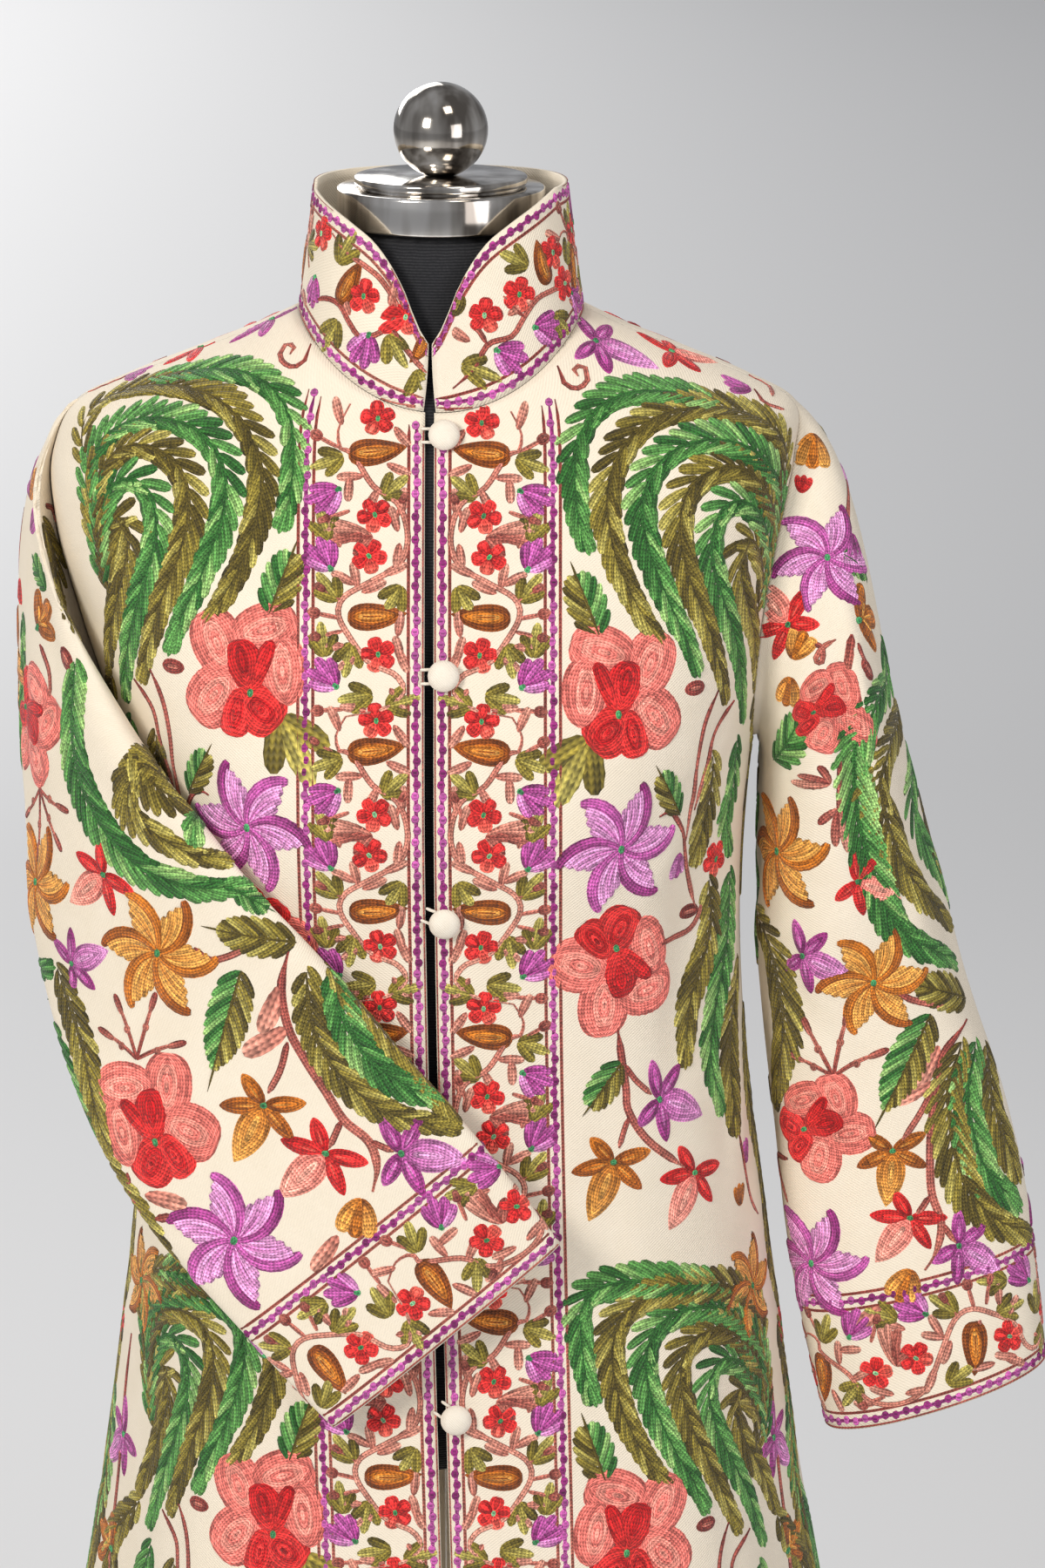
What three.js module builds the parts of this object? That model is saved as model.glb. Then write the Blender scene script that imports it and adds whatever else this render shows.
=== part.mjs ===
// A long embroidered jacket with a stand collar, worn by a limbless dress form on a round stand.
// Millimetres, +Z up, the floor at z = 0, the stand's pole on the Z axis, the jacket's front towards -Y.
// The wearer's left is +X. The right sleeve is folded across the front and the left one hangs.
import * as THREE from "three";

// Driving sizes
const CLOTH = 2.2; // wall of the lined cloth
const SEAM = 0.3; // between pieces that are sewn together
const HEM_Z = 400;
const ARMPIT_Z = 1156;
const BUTTON_RADIUS = 8.8;
const BUTTON_HEIGHTS = [1343, 1219.5, 1083.5, 939.5, 797, 651];
const CAP_FOOT_Z = 1449; // where the chrome cap sits on the form's neck
const NECK_RADIUS = 57;
const BALL_RADIUS = 26.5;
const FORM_FOOT_Z = 745;
const BASE_RADIUS = 175;

const DEGREE = Math.PI / 180;

// Rings of the jacket's body, from the hem up to the neckline. zFront, zSide and zBack are the
// heights of a ring at the middle of the front, at the side and at the middle of the back.
// left and right are its half widths on the wearer's left and right, front and back its depths
// from the line between the two sides.
const BODY_RINGS = [
  { zFront: HEM_Z, zSide: HEM_Z, zBack: HEM_Z, left: 247, right: 238, front: 178, back: 168 },
  { zFront: 520, zSide: 520, zBack: 520, left: 236, right: 227, front: 171, back: 161 },
  { zFront: 640, zSide: 640, zBack: 640, left: 218, right: 209, front: 164, back: 153 },
  { zFront: 740, zSide: 740, zBack: 740, left: 203, right: 195, front: 158, back: 146 },
  { zFront: 830, zSide: 830, zBack: 830, left: 193, right: 185, front: 152, back: 137 },
  { zFront: 920, zSide: 920, zBack: 920, left: 181, right: 176, front: 145, back: 124 },
  { zFront: 1000, zSide: 1000, zBack: 1000, left: 173, right: 171, front: 140, back: 112 },
  { zFront: 1070, zSide: 1070, zBack: 1070, left: 171, right: 171, front: 142, back: 108 },
  { zFront: 1130, zSide: 1130, zBack: 1130, left: 174, right: 177, front: 146, back: 108 },
  { zFront: 1180, zSide: 1180, zBack: 1180, left: 180, right: 190, front: 142, back: 109 },
  { zFront: 1226, zSide: 1232, zBack: 1232, left: 187, right: 206, front: 131, back: 109 },
  { zFront: 1267, zSide: 1284, zBack: 1284, left: 195, right: 219, front: 116, back: 105 },
  { zFront: 1298, zSide: 1324, zBack: 1326, left: 201, right: 219, front: 103, back: 97 },
  { zFront: 1317, zSide: 1348, zBack: 1352, left: 200, right: 207, front: 95, back: 89 },
  { zFront: 1329, zSide: 1361, zBack: 1367, left: 177, right: 181, front: 89, back: 82 },
  { zFront: 1340, zSide: 1376, zBack: 1382, left: 141, right: 142, front: 84, back: 77 },
  { zFront: 1348, zSide: 1390, zBack: 1395, left: 106, right: 106, front: 80, back: 73 },
  { zFront: 1355, zSide: 1402, zBack: 1407, left: 79.5, right: 79.5, front: 76, back: 70 },
];
const SQUARENESS = 0.1; // how far a ring is squarer than an ellipse
const BUST = { x: 84, z: 1135, wide: 58, tall: 62, rise: 9 };

// The line of the front opening: its x above the waist and at the hem, and the slit's width.
const OPENING = { x: -5.5, hemX: 7, bendZ: 1150, slit: 5 };

// Soft folds in the body: a ridge where rise is above 0 and a trough where it is below.
// The fold runs from (fromAngle, fromZ) down to (toAngle, toZ), angles in degrees from the
// middle of the front towards the wearer's left, and is wide millimetres across.
const BODY_FOLDS = [
  { fromAngle: 55, fromZ: 1160, toAngle: 46, toZ: 960, wide: 15, rise: -5 },
  { fromAngle: 71, fromZ: 1120, toAngle: 66, toZ: 880, wide: 14, rise: 5 },
  { fromAngle: 38, fromZ: 900, toAngle: 40, toZ: 330, wide: 30, rise: 9 },
  { fromAngle: 62, fromZ: 860, toAngle: 63, toZ: 330, wide: 26, rise: -9 },
  { fromAngle: 84, fromZ: 930, toAngle: 86, toZ: 330, wide: 30, rise: 8 },
  { fromAngle: 118, fromZ: 880, toAngle: 114, toZ: 330, wide: 34, rise: -9 },
  { fromAngle: 146, fromZ: 960, toAngle: 143, toZ: 330, wide: 32, rise: 8 },
  { fromAngle: 168, fromZ: 900, toAngle: 170, toZ: 330, wide: 26, rise: -7 },
  { fromAngle: -52, fromZ: 1150, toAngle: -44, toZ: 980, wide: 15, rise: -4 },
  { fromAngle: -34, fromZ: 880, toAngle: -37, toZ: 330, wide: 30, rise: 8 },
  { fromAngle: -59, fromZ: 900, toAngle: -58, toZ: 330, wide: 26, rise: -9 },
  { fromAngle: -82, fromZ: 940, toAngle: -83, toZ: 330, wide: 30, rise: 9 },
  { fromAngle: -110, fromZ: 900, toAngle: -107, toZ: 330, wide: 30, rise: -8 },
  { fromAngle: -137, fromZ: 930, toAngle: -134, toZ: 330, wide: 34, rise: 9 },
  { fromAngle: -163, fromZ: 860, toAngle: -160, toZ: 330, wide: 24, rise: -6 },
  { fromAngle: 150, fromZ: 1130, toAngle: 138, toZ: 930, wide: 16, rise: -4 },
  { fromAngle: -150, fromZ: 1140, toAngle: -140, toZ: 920, wide: 16, rise: -4 },
];

// The armhole on the body's side: how far it is scooped to the front and to the back, in degrees.
const ARMHOLES = {
  left: { front: 17, back: 15 },
  right: { front: 7, back: 14 },
};
const ARMHOLE_FULLNESS = 0.74;
const TIP_RING = 13.35;

// Sections of each sleeve from the upper arm to the cuff: the centre, the direction f of the edge
// that is in front when the arm hangs, the half size that way, the direction o of the sleeve's
// outside and the half size that way. blunt is 1 for an oval and less for a flattened sleeve.
const HANGING_SLEEVE = [
  { x: 221, y: 0, z: 1152, fx: 0, fy: -1, fz: 0, wide: 70, ox: 1, oy: 0, oz: 0.34, deep: 43, blunt: 1 },
  { x: 230, y: -3, z: 1082, fx: 0, fy: -1, fz: 0, wide: 62, ox: 1, oy: 0, oz: 0.26, deep: 53, blunt: 1 },
  { x: 243, y: -8, z: 1005, fx: 0, fy: -1, fz: 0, wide: 50, ox: 1, oy: 0, oz: 0.2, deep: 60, blunt: 0.95 },
  { x: 258, y: -14, z: 936, fx: 0, fy: -1, fz: 0, wide: 43, ox: 1, oy: 0, oz: 0.2, deep: 67, blunt: 0.95 },
  { x: 269, y: -20, z: 874, fx: 0, fy: -1, fz: 0, wide: 40, ox: 1, oy: 0, oz: 0.24, deep: 71, blunt: 0.95 },
  { x: 278, y: -26, z: 820, fx: 0, fy: -1, fz: 0, wide: 39, ox: 1, oy: 0, oz: 0.28, deep: 70, blunt: 0.95 },
  { x: 287, y: -31, z: 769, fx: 0, fy: -1, fz: 0, wide: 38, ox: 1, oy: 0, oz: 0.33, deep: 67, blunt: 0.95 },
];
const FOLDED_SLEEVE = [
  { x: -208, y: -30, z: 1182, fx: 0.4, fy: -0.88, fz: 0.24, wide: 70,
    ox: -0.52, oy: -0.22, oz: 0.82, deep: 44, blunt: 1 },
  { x: -198, y: -58, z: 1138, fx: 0.52, fy: -0.76, fz: 0.38, wide: 74,
    ox: -0.72, oy: -0.5, oz: 0.48, deep: 33, blunt: 0.97 },
  { x: -176, y: -90, z: 1092, fx: 0.68, fy: -0.59, fz: 0.43, wide: 80,
    ox: -0.64, oy: -0.74, oz: 0.2, deep: 24, blunt: 0.9 },
  { x: -141, y: -119, z: 1029, fx: 0.79, fy: -0.36, fz: 0.49, wide: 88,
    ox: -0.38, oy: -0.92, oz: 0.05, deep: 17, blunt: 0.8 },
  { x: -97, y: -144, z: 965, fx: 0.82, fy: -0.17, fz: 0.55, wide: 91,
    ox: -0.16, oy: -0.98, oz: 0, deep: 13, blunt: 0.76 },
  { x: -43, y: -161, z: 905, fx: 0.76, fy: -0.06, fz: 0.65, wide: 88,
    ox: -0.05, oy: -1, oz: 0, deep: 10.5, blunt: 0.72 },
  { x: 3, y: -169, z: 852, fx: 0.766, fy: 0.03, fz: 0.642, wide: 83,
    ox: 0.03, oy: -1, oz: 0, deep: 9, blunt: 0.7 },
];
// The way the sleeve's cloth leaves the armhole at its tip, front, underarm and back.
const HANGING_LEAVES = {
  tip: { x: 1, y: 0, z: -0.25 },
  front: { x: 0.9, y: -0.42, z: -0.4 },
  under: { x: 0.8, y: 0, z: -0.6 },
  back: { x: 0.9, y: 0.42, z: -0.4 },
};
const HANGING_PULL = 0.58; // how far the cloth goes that way before it turns down the arm
const FOLDED_LEAVES = {
  tip: { x: -1, y: -0.25, z: -0.3 },
  front: { x: -0.8, y: -0.65, z: -0.1 },
  under: { x: -0.6, y: -0.2, z: -0.75 },
  back: { x: -0.9, y: 0.25, z: -0.45 },
};
const FOLDED_PULL = 0.8;
// Creases in a sleeve: at is the place along it from armhole (0) to cuff (1), around the angle in
// degrees from its outside towards its front, turn how far the crease drifts along its length.
const HANGING_CREASES = [
  { at: 0.3, around: 78, long: 0.3, wide: 9, turn: -8, rise: -8 },
  { at: 0.26, around: 55, long: 0.2, wide: 12, turn: -6, rise: 4 },
  { at: 0.62, around: 100, long: 0.16, wide: 12, turn: 20, rise: -4 },
  { at: 0.5, around: 20, long: 0.22, wide: 14, turn: -10, rise: -4 },
  { at: 0.55, around: 250, long: 0.2, wide: 12, turn: 25, rise: -5 },
  { at: 0.38, around: 285, long: 0.16, wide: 12, turn: -20, rise: -4 },
];
const FOLDED_CREASES = [
  { at: 0.46, around: 30, long: 0.16, wide: 14, turn: 22, rise: -3.5 },
  { at: 0.36, around: -32, long: 0.17, wide: 13, turn: -16, rise: -4 },
  { at: 0.6, around: -40, long: 0.15, wide: 14, turn: 18, rise: -3 },
];

const COLLAR = { backTopZ: 1473, sideLean: 9, backLean: 4, gap: 1, footGap: 3.4 };
// The collar's upper edge in front: its height by how far it is round from the opening, 0 to 1.
const COLLAR_EDGE = [
  { round: 0, z: 1391 },
  { round: 0.1, z: 1403 },
  { round: 0.19, z: 1419 },
  { round: 0.29, z: 1432 },
  { round: 0.43, z: 1445 },
  { round: 0.63, z: 1456 },
  { round: 0.83, z: 1465 },
  { round: 1, z: 1473 },
];

// Tools for smooth tables

function tangents(knots, values) {
  const slope = (i) => (values[i + 1] - values[i]) / (knots[i + 1] - knots[i]);
  return values.map((v, i) => {
    if (i === 0) return slope(0);
    if (i === values.length - 1) return slope(i - 1);
    const before = knots[i] - knots[i - 1];
    const after = knots[i + 1] - knots[i];
    return (slope(i - 1) * after + slope(i) * before) / (before + after);
  });
}

// A smooth function through a table's columns: knots are the places of its rows.
function smoothTable(rows, knots) {
  const names = Object.keys(rows[0]);
  const columns = names.map((n) => rows.map((r) => r[n]));
  const slopes = columns.map((c) => tangents(knots, c));
  const last = knots.length - 1;
  return (at) => {
    const k = Math.min(Math.max(at, knots[0]), knots[last]);
    let i = 0;
    while (i < last - 1 && k > knots[i + 1]) i++;
    const h = knots[i + 1] - knots[i];
    const t = (k - knots[i]) / h;
    const t2 = t * t;
    const t3 = t2 * t;
    const row = {};
    names.forEach((n, c) => {
      row[n] =
        columns[c][i] * (2 * t3 - 3 * t2 + 1) +
        slopes[c][i] * h * (t3 - 2 * t2 + t) +
        columns[c][i + 1] * (3 * t2 - 2 * t3) +
        slopes[c][i + 1] * h * (t3 - t2);
    });
    return row;
  };
}

const smoothStep = (t) => {
  const c = Math.min(Math.max(t, 0), 1);
  return c * c * (3 - 2 * c);
};
const hill = (t) => Math.exp(-t * t);

// The body of the jacket

function bodyKnots() {
  const knots = [0];
  for (let i = 1; i < BODY_RINGS.length; i++) {
    const a = BODY_RINGS[i - 1];
    const b = BODY_RINGS[i];
    const side = Math.hypot(b.left - a.left, b.zSide - a.zSide);
    const front = Math.hypot(b.front - a.front, b.zFront - a.zFront);
    knots.push(knots[i - 1] + (side + front) / 2);
  }
  return knots;
}
const BODY_KNOTS = bodyKnots();
const BODY_TOP = BODY_KNOTS[BODY_KNOTS.length - 1];
const ringAt = smoothTable(BODY_RINGS, BODY_KNOTS);

// The place up the body, by the number of a ring, which may lie between two rings.
function upAtRing(number) {
  const i = Math.floor(number);
  return BODY_KNOTS[i] + (number - i) * (BODY_KNOTS[i + 1] - BODY_KNOTS[i]);
}

// The place up the body whose side is at height z.
function upAtZ(z) {
  let low = 0;
  let high = BODY_TOP;
  for (let i = 0; i < 40; i++) {
    const middle = (low + high) / 2;
    if (ringAt(middle).zSide < z) low = middle;
    else high = middle;
  }
  return low;
}

// A point of the body before its folds, at a place up it and an angle round it. The dress form
// under it has the left side's width on both sides.
function plainBody(up, angle, form = false) {
  const r = ringAt(up);
  const s = Math.sin(angle);
  const half = s > 0 || form ? Math.min(r.left, form ? r.right : r.left) : r.right;
  const c = Math.cos(angle);
  const depth = c > 0 ? r.front : r.back;
  const lift = (c > 0 ? r.zFront : r.zBack) - r.zSide;
  const x = half * s * (1 + SQUARENESS * c * c);
  const z = r.zSide + lift * c * c;
  let y = -depth * c * (1 + SQUARENESS * s * s);
  if (c > 0) {
    const across = hill((Math.abs(x) - BUST.x) / BUST.wide);
    y -= BUST.rise * across * hill((z - BUST.z) / BUST.tall);
  }
  return new THREE.Vector3(x, y, z);
}

function bodyNormal(up, angle, form = false) {
  const step = 0.5;
  const turn = 0.004;
  const low = Math.max(up - step, 0);
  const high = Math.min(up + step, BODY_TOP);
  const along = plainBody(high, angle, form).sub(plainBody(low, angle, form));
  const round = plainBody(up, angle + turn, form).sub(plainBody(up, angle - turn, form));
  return round.cross(along).normalize();
}

function foldRise(angle, z, half) {
  let rise = 0;
  for (const f of BODY_FOLDS) {
    const down = (f.fromZ - z) / (f.fromZ - f.toZ);
    if (down <= 0 || down >= 1) continue;
    const middle = (f.fromAngle + (f.toAngle - f.fromAngle) * down) * DEGREE;
    const turn = Math.atan2(Math.sin(angle - middle), Math.cos(angle - middle));
    const fade = f.toZ < HEM_Z ? smoothStep(down * 1.25) : Math.sin(Math.PI * down);
    rise += f.rise * fade * hill((turn * half * 0.8) / f.wide);
  }
  return rise;
}

// A point of the jacket's body, inset millimetres under its outer face.
function body(up, angle, inset = 0) {
  const p = plainBody(up, angle);
  const rise = foldRise(angle, p.z, ringAt(up).left);
  return p.addScaledVector(bodyNormal(up, angle), rise - inset);
}

// The x of the middle of the front opening at a height.
function openingX(z) {
  const down = smoothStep((OPENING.bendZ - z) / (OPENING.bendZ - HEM_Z));
  return OPENING.x + (OPENING.hemX - OPENING.x) * down;
}

// The angle of a front's edge: side is 1 on the wearer's left and -1 on the right.
function frontEdge(up, side) {
  const r = ringAt(up);
  const x = openingX(r.zFront) + side * (OPENING.slit / 2);
  return Math.asin(x / ((x > 0 ? r.left : r.right) * (1 + SQUARENESS)));
}

const ARMPIT_UP = upAtZ(ARMPIT_Z);
const TIP_UP = upAtRing(TIP_RING);

// How far the armhole is scooped from the side, in radians: high is 0 at the armpit and 1 at the
// shoulder's tip.
function scoop(high, degrees) {
  const h = Math.min(Math.max(high, 0), 1);
  return degrees * DEGREE * Math.sqrt(Math.max(Math.sin(Math.PI * h ** ARMHOLE_FULLNESS), 0));
}

const SEAM_ANGLE = SEAM / 2 / 105;

// How far up the armhole a place up the body is: 0 at the armpit and 1 at the shoulder's tip.
const upArmhole = (up) => (up - ARMPIT_UP) / (TIP_UP - ARMPIT_UP);

// The angle from the middle of the front at a side seam or shoulder seam: -1 is in front of the
// seam and 1 is behind it.
const seamAngle = (behind) => Math.PI / 2 + behind * SEAM_ANGLE;

// Rows up a panel: evenly spaced, and closer round the armhole's two ends.
function panelRows(below, beside, above) {
  const rows = [];
  for (let i = 0; i < below; i++) rows.push((ARMPIT_UP * i) / below);
  for (let i = 0; i < beside; i++) {
    const high = (1 - Math.cos((Math.PI * i) / beside)) / 2;
    rows.push(ARMPIT_UP + (TIP_UP - ARMPIT_UP) * high);
  }
  for (let i = 0; i <= above; i++) rows.push(TIP_UP + ((BODY_TOP - TIP_UP) * i) / above);
  return rows;
}

const ARMHOLE_ROWS = 12; // the panels' rows beside an armhole meet every vertex of the sleeve
const PANEL_ROWS = panelRows(18, ARMHOLE_ROWS, 6);

// A closed wall between two grids of points with the same rows and columns. A wrapped grid's last
// column joins its first. The outer grid's columns turn anticlockwise seen from outside its top.
function wall(outer, inner, wrapped) {
  const rows = outer.length;
  const columns = outer[0].length;
  const points = [];
  const faces = [];
  for (const grid of [outer, inner]) {
    for (const row of grid) for (const p of row) points.push(p.x, p.y, p.z);
  }
  const out = (r, c) => r * columns + (c % columns);
  const into = (r, c) => rows * columns + out(r, c);
  const quad = (a, b, c, d) => faces.push(a, b, c, a, c, d);
  const spans = wrapped ? columns : columns - 1;
  for (let r = 0; r < rows - 1; r++) {
    for (let c = 0; c < spans; c++) {
      quad(out(r, c), out(r, c + 1), out(r + 1, c + 1), out(r + 1, c));
      quad(into(r, c), into(r + 1, c), into(r + 1, c + 1), into(r, c + 1));
    }
  }
  for (let c = 0; c < spans; c++) {
    quad(out(0, c), into(0, c), into(0, c + 1), out(0, c + 1));
    quad(out(rows - 1, c), out(rows - 1, c + 1), into(rows - 1, c + 1), into(rows - 1, c));
  }
  if (!wrapped) {
    const end = columns - 1;
    for (let r = 0; r < rows - 1; r++) {
      quad(out(r, 0), out(r + 1, 0), into(r + 1, 0), into(r, 0));
      quad(out(r, end), into(r, end), into(r + 1, end), out(r + 1, end));
    }
  }
  return indexed(points, faces);
}

function indexed(points, faces) {
  const geometry = new THREE.BufferGeometry();
  geometry.setAttribute("position", new THREE.Float32BufferAttribute(points, 3));
  geometry.setIndex(faces);
  geometry.computeVertexNormals();
  return geometry;
}

// A panel of the body between two angles that change up it. cutFrom and cutTo are how far the
// armholes cut into its two edges; the columns near the cut give way most.
function bodyPanel(rows, columns, start, end, cutFrom, cutTo) {
  const grid = (inset) =>
    rows.map((up) => {
      const from = start(up);
      const to = end(up);
      const high = upArmhole(up);
      return Array.from({ length: columns + 1 }, (_, c) => {
        const t = c / columns;
        const cut = scoop(high, cutFrom) * (1 - t) ** 3 - scoop(high, cutTo) * t ** 3;
        return body(up, from + (to - from) * t + cut, inset);
      });
    });
  return wall(grid(0), grid(CLOTH), false);
}

// Sleeves

const SLEEVE_AROUND = ARMHOLE_ROWS * 2;
const CAP_ROWS = 8;
const SLEEVE_ROWS = 16;

// The armhole's edge on the sleeve: around is 0 at the shoulder's tip and a quarter turn in front.
function armholePoint(side, around, inset) {
  const high = (1 + Math.cos(around)) / 2;
  const margin = SEAM / (TIP_UP - ARMPIT_UP);
  const up = ARMPIT_UP + (TIP_UP - ARMPIT_UP) * (margin + high * (1 - 2 * margin));
  const front = Math.sin(around) >= 0;
  const shape = side > 0 ? ARMHOLES.left : ARMHOLES.right;
  const cut = scoop(high, front ? shape.front : shape.back);
  const clear = Math.min(SEAM_ANGLE * 1.2, cut);
  const angle = Math.PI / 2 + (front ? -1 : 1) * (cut - clear);
  return body(up, side * angle, inset);
}

// Keeps a sleeve off the body: a point nearer than margin to it is pushed straight out.
function clearOfBody(p, margin) {
  const up = upAtZ(p.z);
  const r = ringAt(up);
  const depth = p.y < 0 ? r.front : r.back;
  const angle = Math.atan2(p.x / (p.x > 0 ? r.left : r.right), -p.y / depth);
  const skin = body(up, angle);
  const near = Math.hypot(p.x, p.y);
  const least = Math.hypot(skin.x, skin.y) + margin;
  if (near >= least) return p;
  return new THREE.Vector3((p.x * least) / near, (p.y * least) / near, p.z);
}

function sleeveKnots(sections) {
  const knots = [0];
  for (let i = 1; i < sections.length; i++) {
    const a = sections[i - 1];
    const b = sections[i];
    knots.push(knots[i - 1] + Math.hypot(b.x - a.x, b.y - a.y, b.z - a.z));
  }
  return knots;
}

// Eases the rows after the first into their neighbours, as cloth does over a shoulder.
function eased(rows, upTo, times) {
  const columns = rows[0].length;
  for (let time = 0; time < times; time++) {
    const before = rows.map((row) => row.map((p) => p.clone()));
    for (let r = 1; r < upTo; r++) {
      for (let c = 0; c < columns; c++) {
        const near = [
          before[r - 1][c],
          before[r + 1][c],
          before[r][(c + 1) % columns],
          before[r][(c + columns - 1) % columns],
        ];
        const middle = near.reduce((sum, q) => sum.add(q), new THREE.Vector3()).divideScalar(4);
        rows[r][c].lerp(middle, 0.5);
      }
    }
  }
}

// The outer face of a sleeve as a grid: rows from the armhole to the cuff, columns round it.
function sleeveGrid(side, sections, leaves, creases, folded) {
  const knots = sleeveKnots(sections);
  const long = knots[knots.length - 1];
  const at = smoothTable(sections, knots);
  const arounds = Array.from({ length: SLEEVE_AROUND }, (_, c) => (c / SLEEVE_AROUND) * 2 * Math.PI);
  const centre = (k) => {
    const s = at(k);
    return new THREE.Vector3(s.x, s.y, s.z);
  };
  const sectionPoint = (k, around) => {
    const s = at(k);
    const blunt = (v) => Math.sign(v) * Math.abs(v) ** s.blunt;
    const front = new THREE.Vector3(s.fx, s.fy, s.fz).normalize();
    const outside = new THREE.Vector3(s.ox, s.oy, s.oz).normalize();
    const p = centre(k);
    p.addScaledVector(front, s.wide * blunt(Math.sin(around)));
    return p.addScaledVector(outside, s.deep * blunt(Math.cos(around)));
  };
  const leaving = (around) => {
    const c = Math.cos(around);
    const f = Math.sin(around);
    const upper = c > 0 ? leaves.tip : leaves.under;
    const facing = f > 0 ? leaves.front : leaves.back;
    const way = new THREE.Vector3();
    way.addScaledVector(upper, c * c);
    return way.addScaledVector(facing, f * f).normalize();
  };
  // The cap: a curve from each armhole point to the first section's point.
  const capPoint = (t, around) => {
    const from = armholePoint(side, around, 0);
    const to = sectionPoint(0, around);
    const after = sectionPoint(4, around);
    const gap = from.distanceTo(to);
    const arrive = after.sub(to).normalize();
    const t2 = t * t;
    const t3 = t2 * t;
    const p = from.clone().multiplyScalar(2 * t3 - 3 * t2 + 1);
    const pull = 11 + gap * (folded ? FOLDED_PULL : HANGING_PULL);
    p.addScaledVector(leaving(around), pull * (t3 - 2 * t2 + t));
    p.addScaledVector(to, 3 * t2 - 2 * t3);
    return p.addScaledVector(arrive, gap * 0.8 * (t3 - t2));
  };
  const rows = [];
  for (let i = 0; i < CAP_ROWS; i++) {
    rows.push(arounds.map((a) => capPoint(i / CAP_ROWS, a)));
  }
  for (let i = 0; i <= SLEEVE_ROWS; i++) {
    rows.push(arounds.map((a) => sectionPoint((long * i) / SLEEVE_ROWS, a)));
  }
  eased(rows, CAP_ROWS + 4, folded ? 5 : 3);
  const last = rows.length - 1;
  rows.forEach((row, r) => {
    const place = r / last;
    arounds.forEach((around, c) => {
      const p = row[c];
      if (r > 0) {
        const hub = row.reduce((sum, q) => sum.add(q), new THREE.Vector3()).divideScalar(row.length);
        const outward = p.clone().sub(hub).normalize();
        for (const k of creases) {
          const off = (place - k.at) / k.long;
          if (Math.abs(off) >= 1) continue;
          const middle = (k.around + k.turn * off) * DEGREE;
          const turn = Math.atan2(Math.sin(around - middle), Math.cos(around - middle));
          const arc = turn * 55;
          const fade = Math.cos((Math.PI / 2) * off) ** 2;
          p.addScaledVector(outward, k.rise * fade * hill(arc / k.wide));
        }
      }
      if (r > 0) {
        const deep = at(Math.max(0, (long * (r - CAP_ROWS)) / SLEEVE_ROWS)).deep;
        const flat = folded ? smoothStep((r - CAP_ROWS) / 6) : 0;
        row[c] = clearOfBody(p, 3.2 + flat * Math.min(deep, 16) * 0.7 * (1 + Math.cos(around)));
      }
    });
  });
  return rows;
}

// The same grid, CLOTH under the outer face. At the armhole it follows the body's wall.
function insetGrid(rows, side) {
  const last = rows.length - 1;
  const columns = rows[0].length;
  return rows.map((row, r) =>
    row.map((p, c) => {
      if (r === 0) return armholePoint(side, (c / columns) * 2 * Math.PI, CLOTH);
      const above = rows[Math.max(r - 1, 0)][c];
      const below = rows[Math.min(r + 1, last)][c];
      const before = row[(c + columns - 1) % columns];
      const after = row[(c + 1) % columns];
      const down = below.clone().sub(above);
      const round = after.clone().sub(before);
      const inward = round.cross(down).normalize().multiplyScalar(-side);
      return p.clone().addScaledVector(inward, CLOTH);
    }),
  );
}

function sleeve(side, sections, leaves, creases, folded) {
  const outer = sleeveGrid(side, sections, leaves, creases, folded);
  const inner = insetGrid(outer, side);
  return side > 0 ? wall(outer, inner, true) : wall(inner, outer, true);
}

// Collar

const collarEdgeAt = smoothTable(
  COLLAR_EDGE,
  COLLAR_EDGE.map((r) => r.round),
);

function collarPoint(angle, high, inset) {
  const foot = plainBody(BODY_TOP, angle);
  const c = Math.cos(angle);
  const s = Math.sin(angle);
  const round = Math.min(Math.abs(foot.x - OPENING.x) / ringAt(BODY_TOP).left, 1);
  const sideTop = COLLAR_EDGE[COLLAR_EDGE.length - 1].z;
  const topZ = c > 0 ? collarEdgeAt(round).z : sideTop + (COLLAR.backTopZ - sideTop) * c * c;
  const z = foot.z + SEAM + (topZ - foot.z - SEAM) * high;
  const lean = COLLAR.backLean + (COLLAR.sideLean - COLLAR.backLean) * (c > 0 ? 1 : s * s);
  const away = Math.hypot(foot.x, foot.y);
  const k = (away - lean * ((z - foot.z) / 70) - inset) / away;
  return new THREE.Vector3(foot.x * k, foot.y * k, z);
}

function collar() {
  const around = 36;
  const rows = 4;
  const gapAt = (high) => COLLAR.gap + (COLLAR.footGap - COLLAR.gap) * (1 - high) ** 2;
  const angleOfX = (x) => Math.asin(x / (ringAt(BODY_TOP).left * (1 + SQUARENESS)));
  const grid = (inset) =>
    Array.from({ length: rows + 1 }, (_, r) => {
      const high = r / rows;
      const from = angleOfX(OPENING.x + gapAt(high));
      const to = angleOfX(OPENING.x - gapAt(high)) + 2 * Math.PI;
      return Array.from({ length: around + 1 }, (_, c) =>
        collarPoint(from + ((to - from) * c) / around, high, inset),
      );
    });
  return wall(grid(0), grid(CLOTH), false);
}

// Buttons and their loops

// The frame of the front at a height, beside the opening: a point of the cloth and its outward way.
function frontAt(z, x) {
  const up = upAtFrontZ(z);
  const r = ringAt(up);
  const angle = Math.asin(x / ((x > 0 ? r.left : r.right) * (1 + SQUARENESS)));
  return { point: body(up, angle), out: bodyNormal(up, angle) };
}

function upAtFrontZ(z) {
  let low = 0;
  let high = BODY_TOP;
  for (let i = 0; i < 40; i++) {
    const middle = (low + high) / 2;
    if (ringAt(middle).zFront < z) low = middle;
    else high = middle;
  }
  return low;
}

const SHANK = { radius: 2.4, tall: 3.2 };

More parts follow.
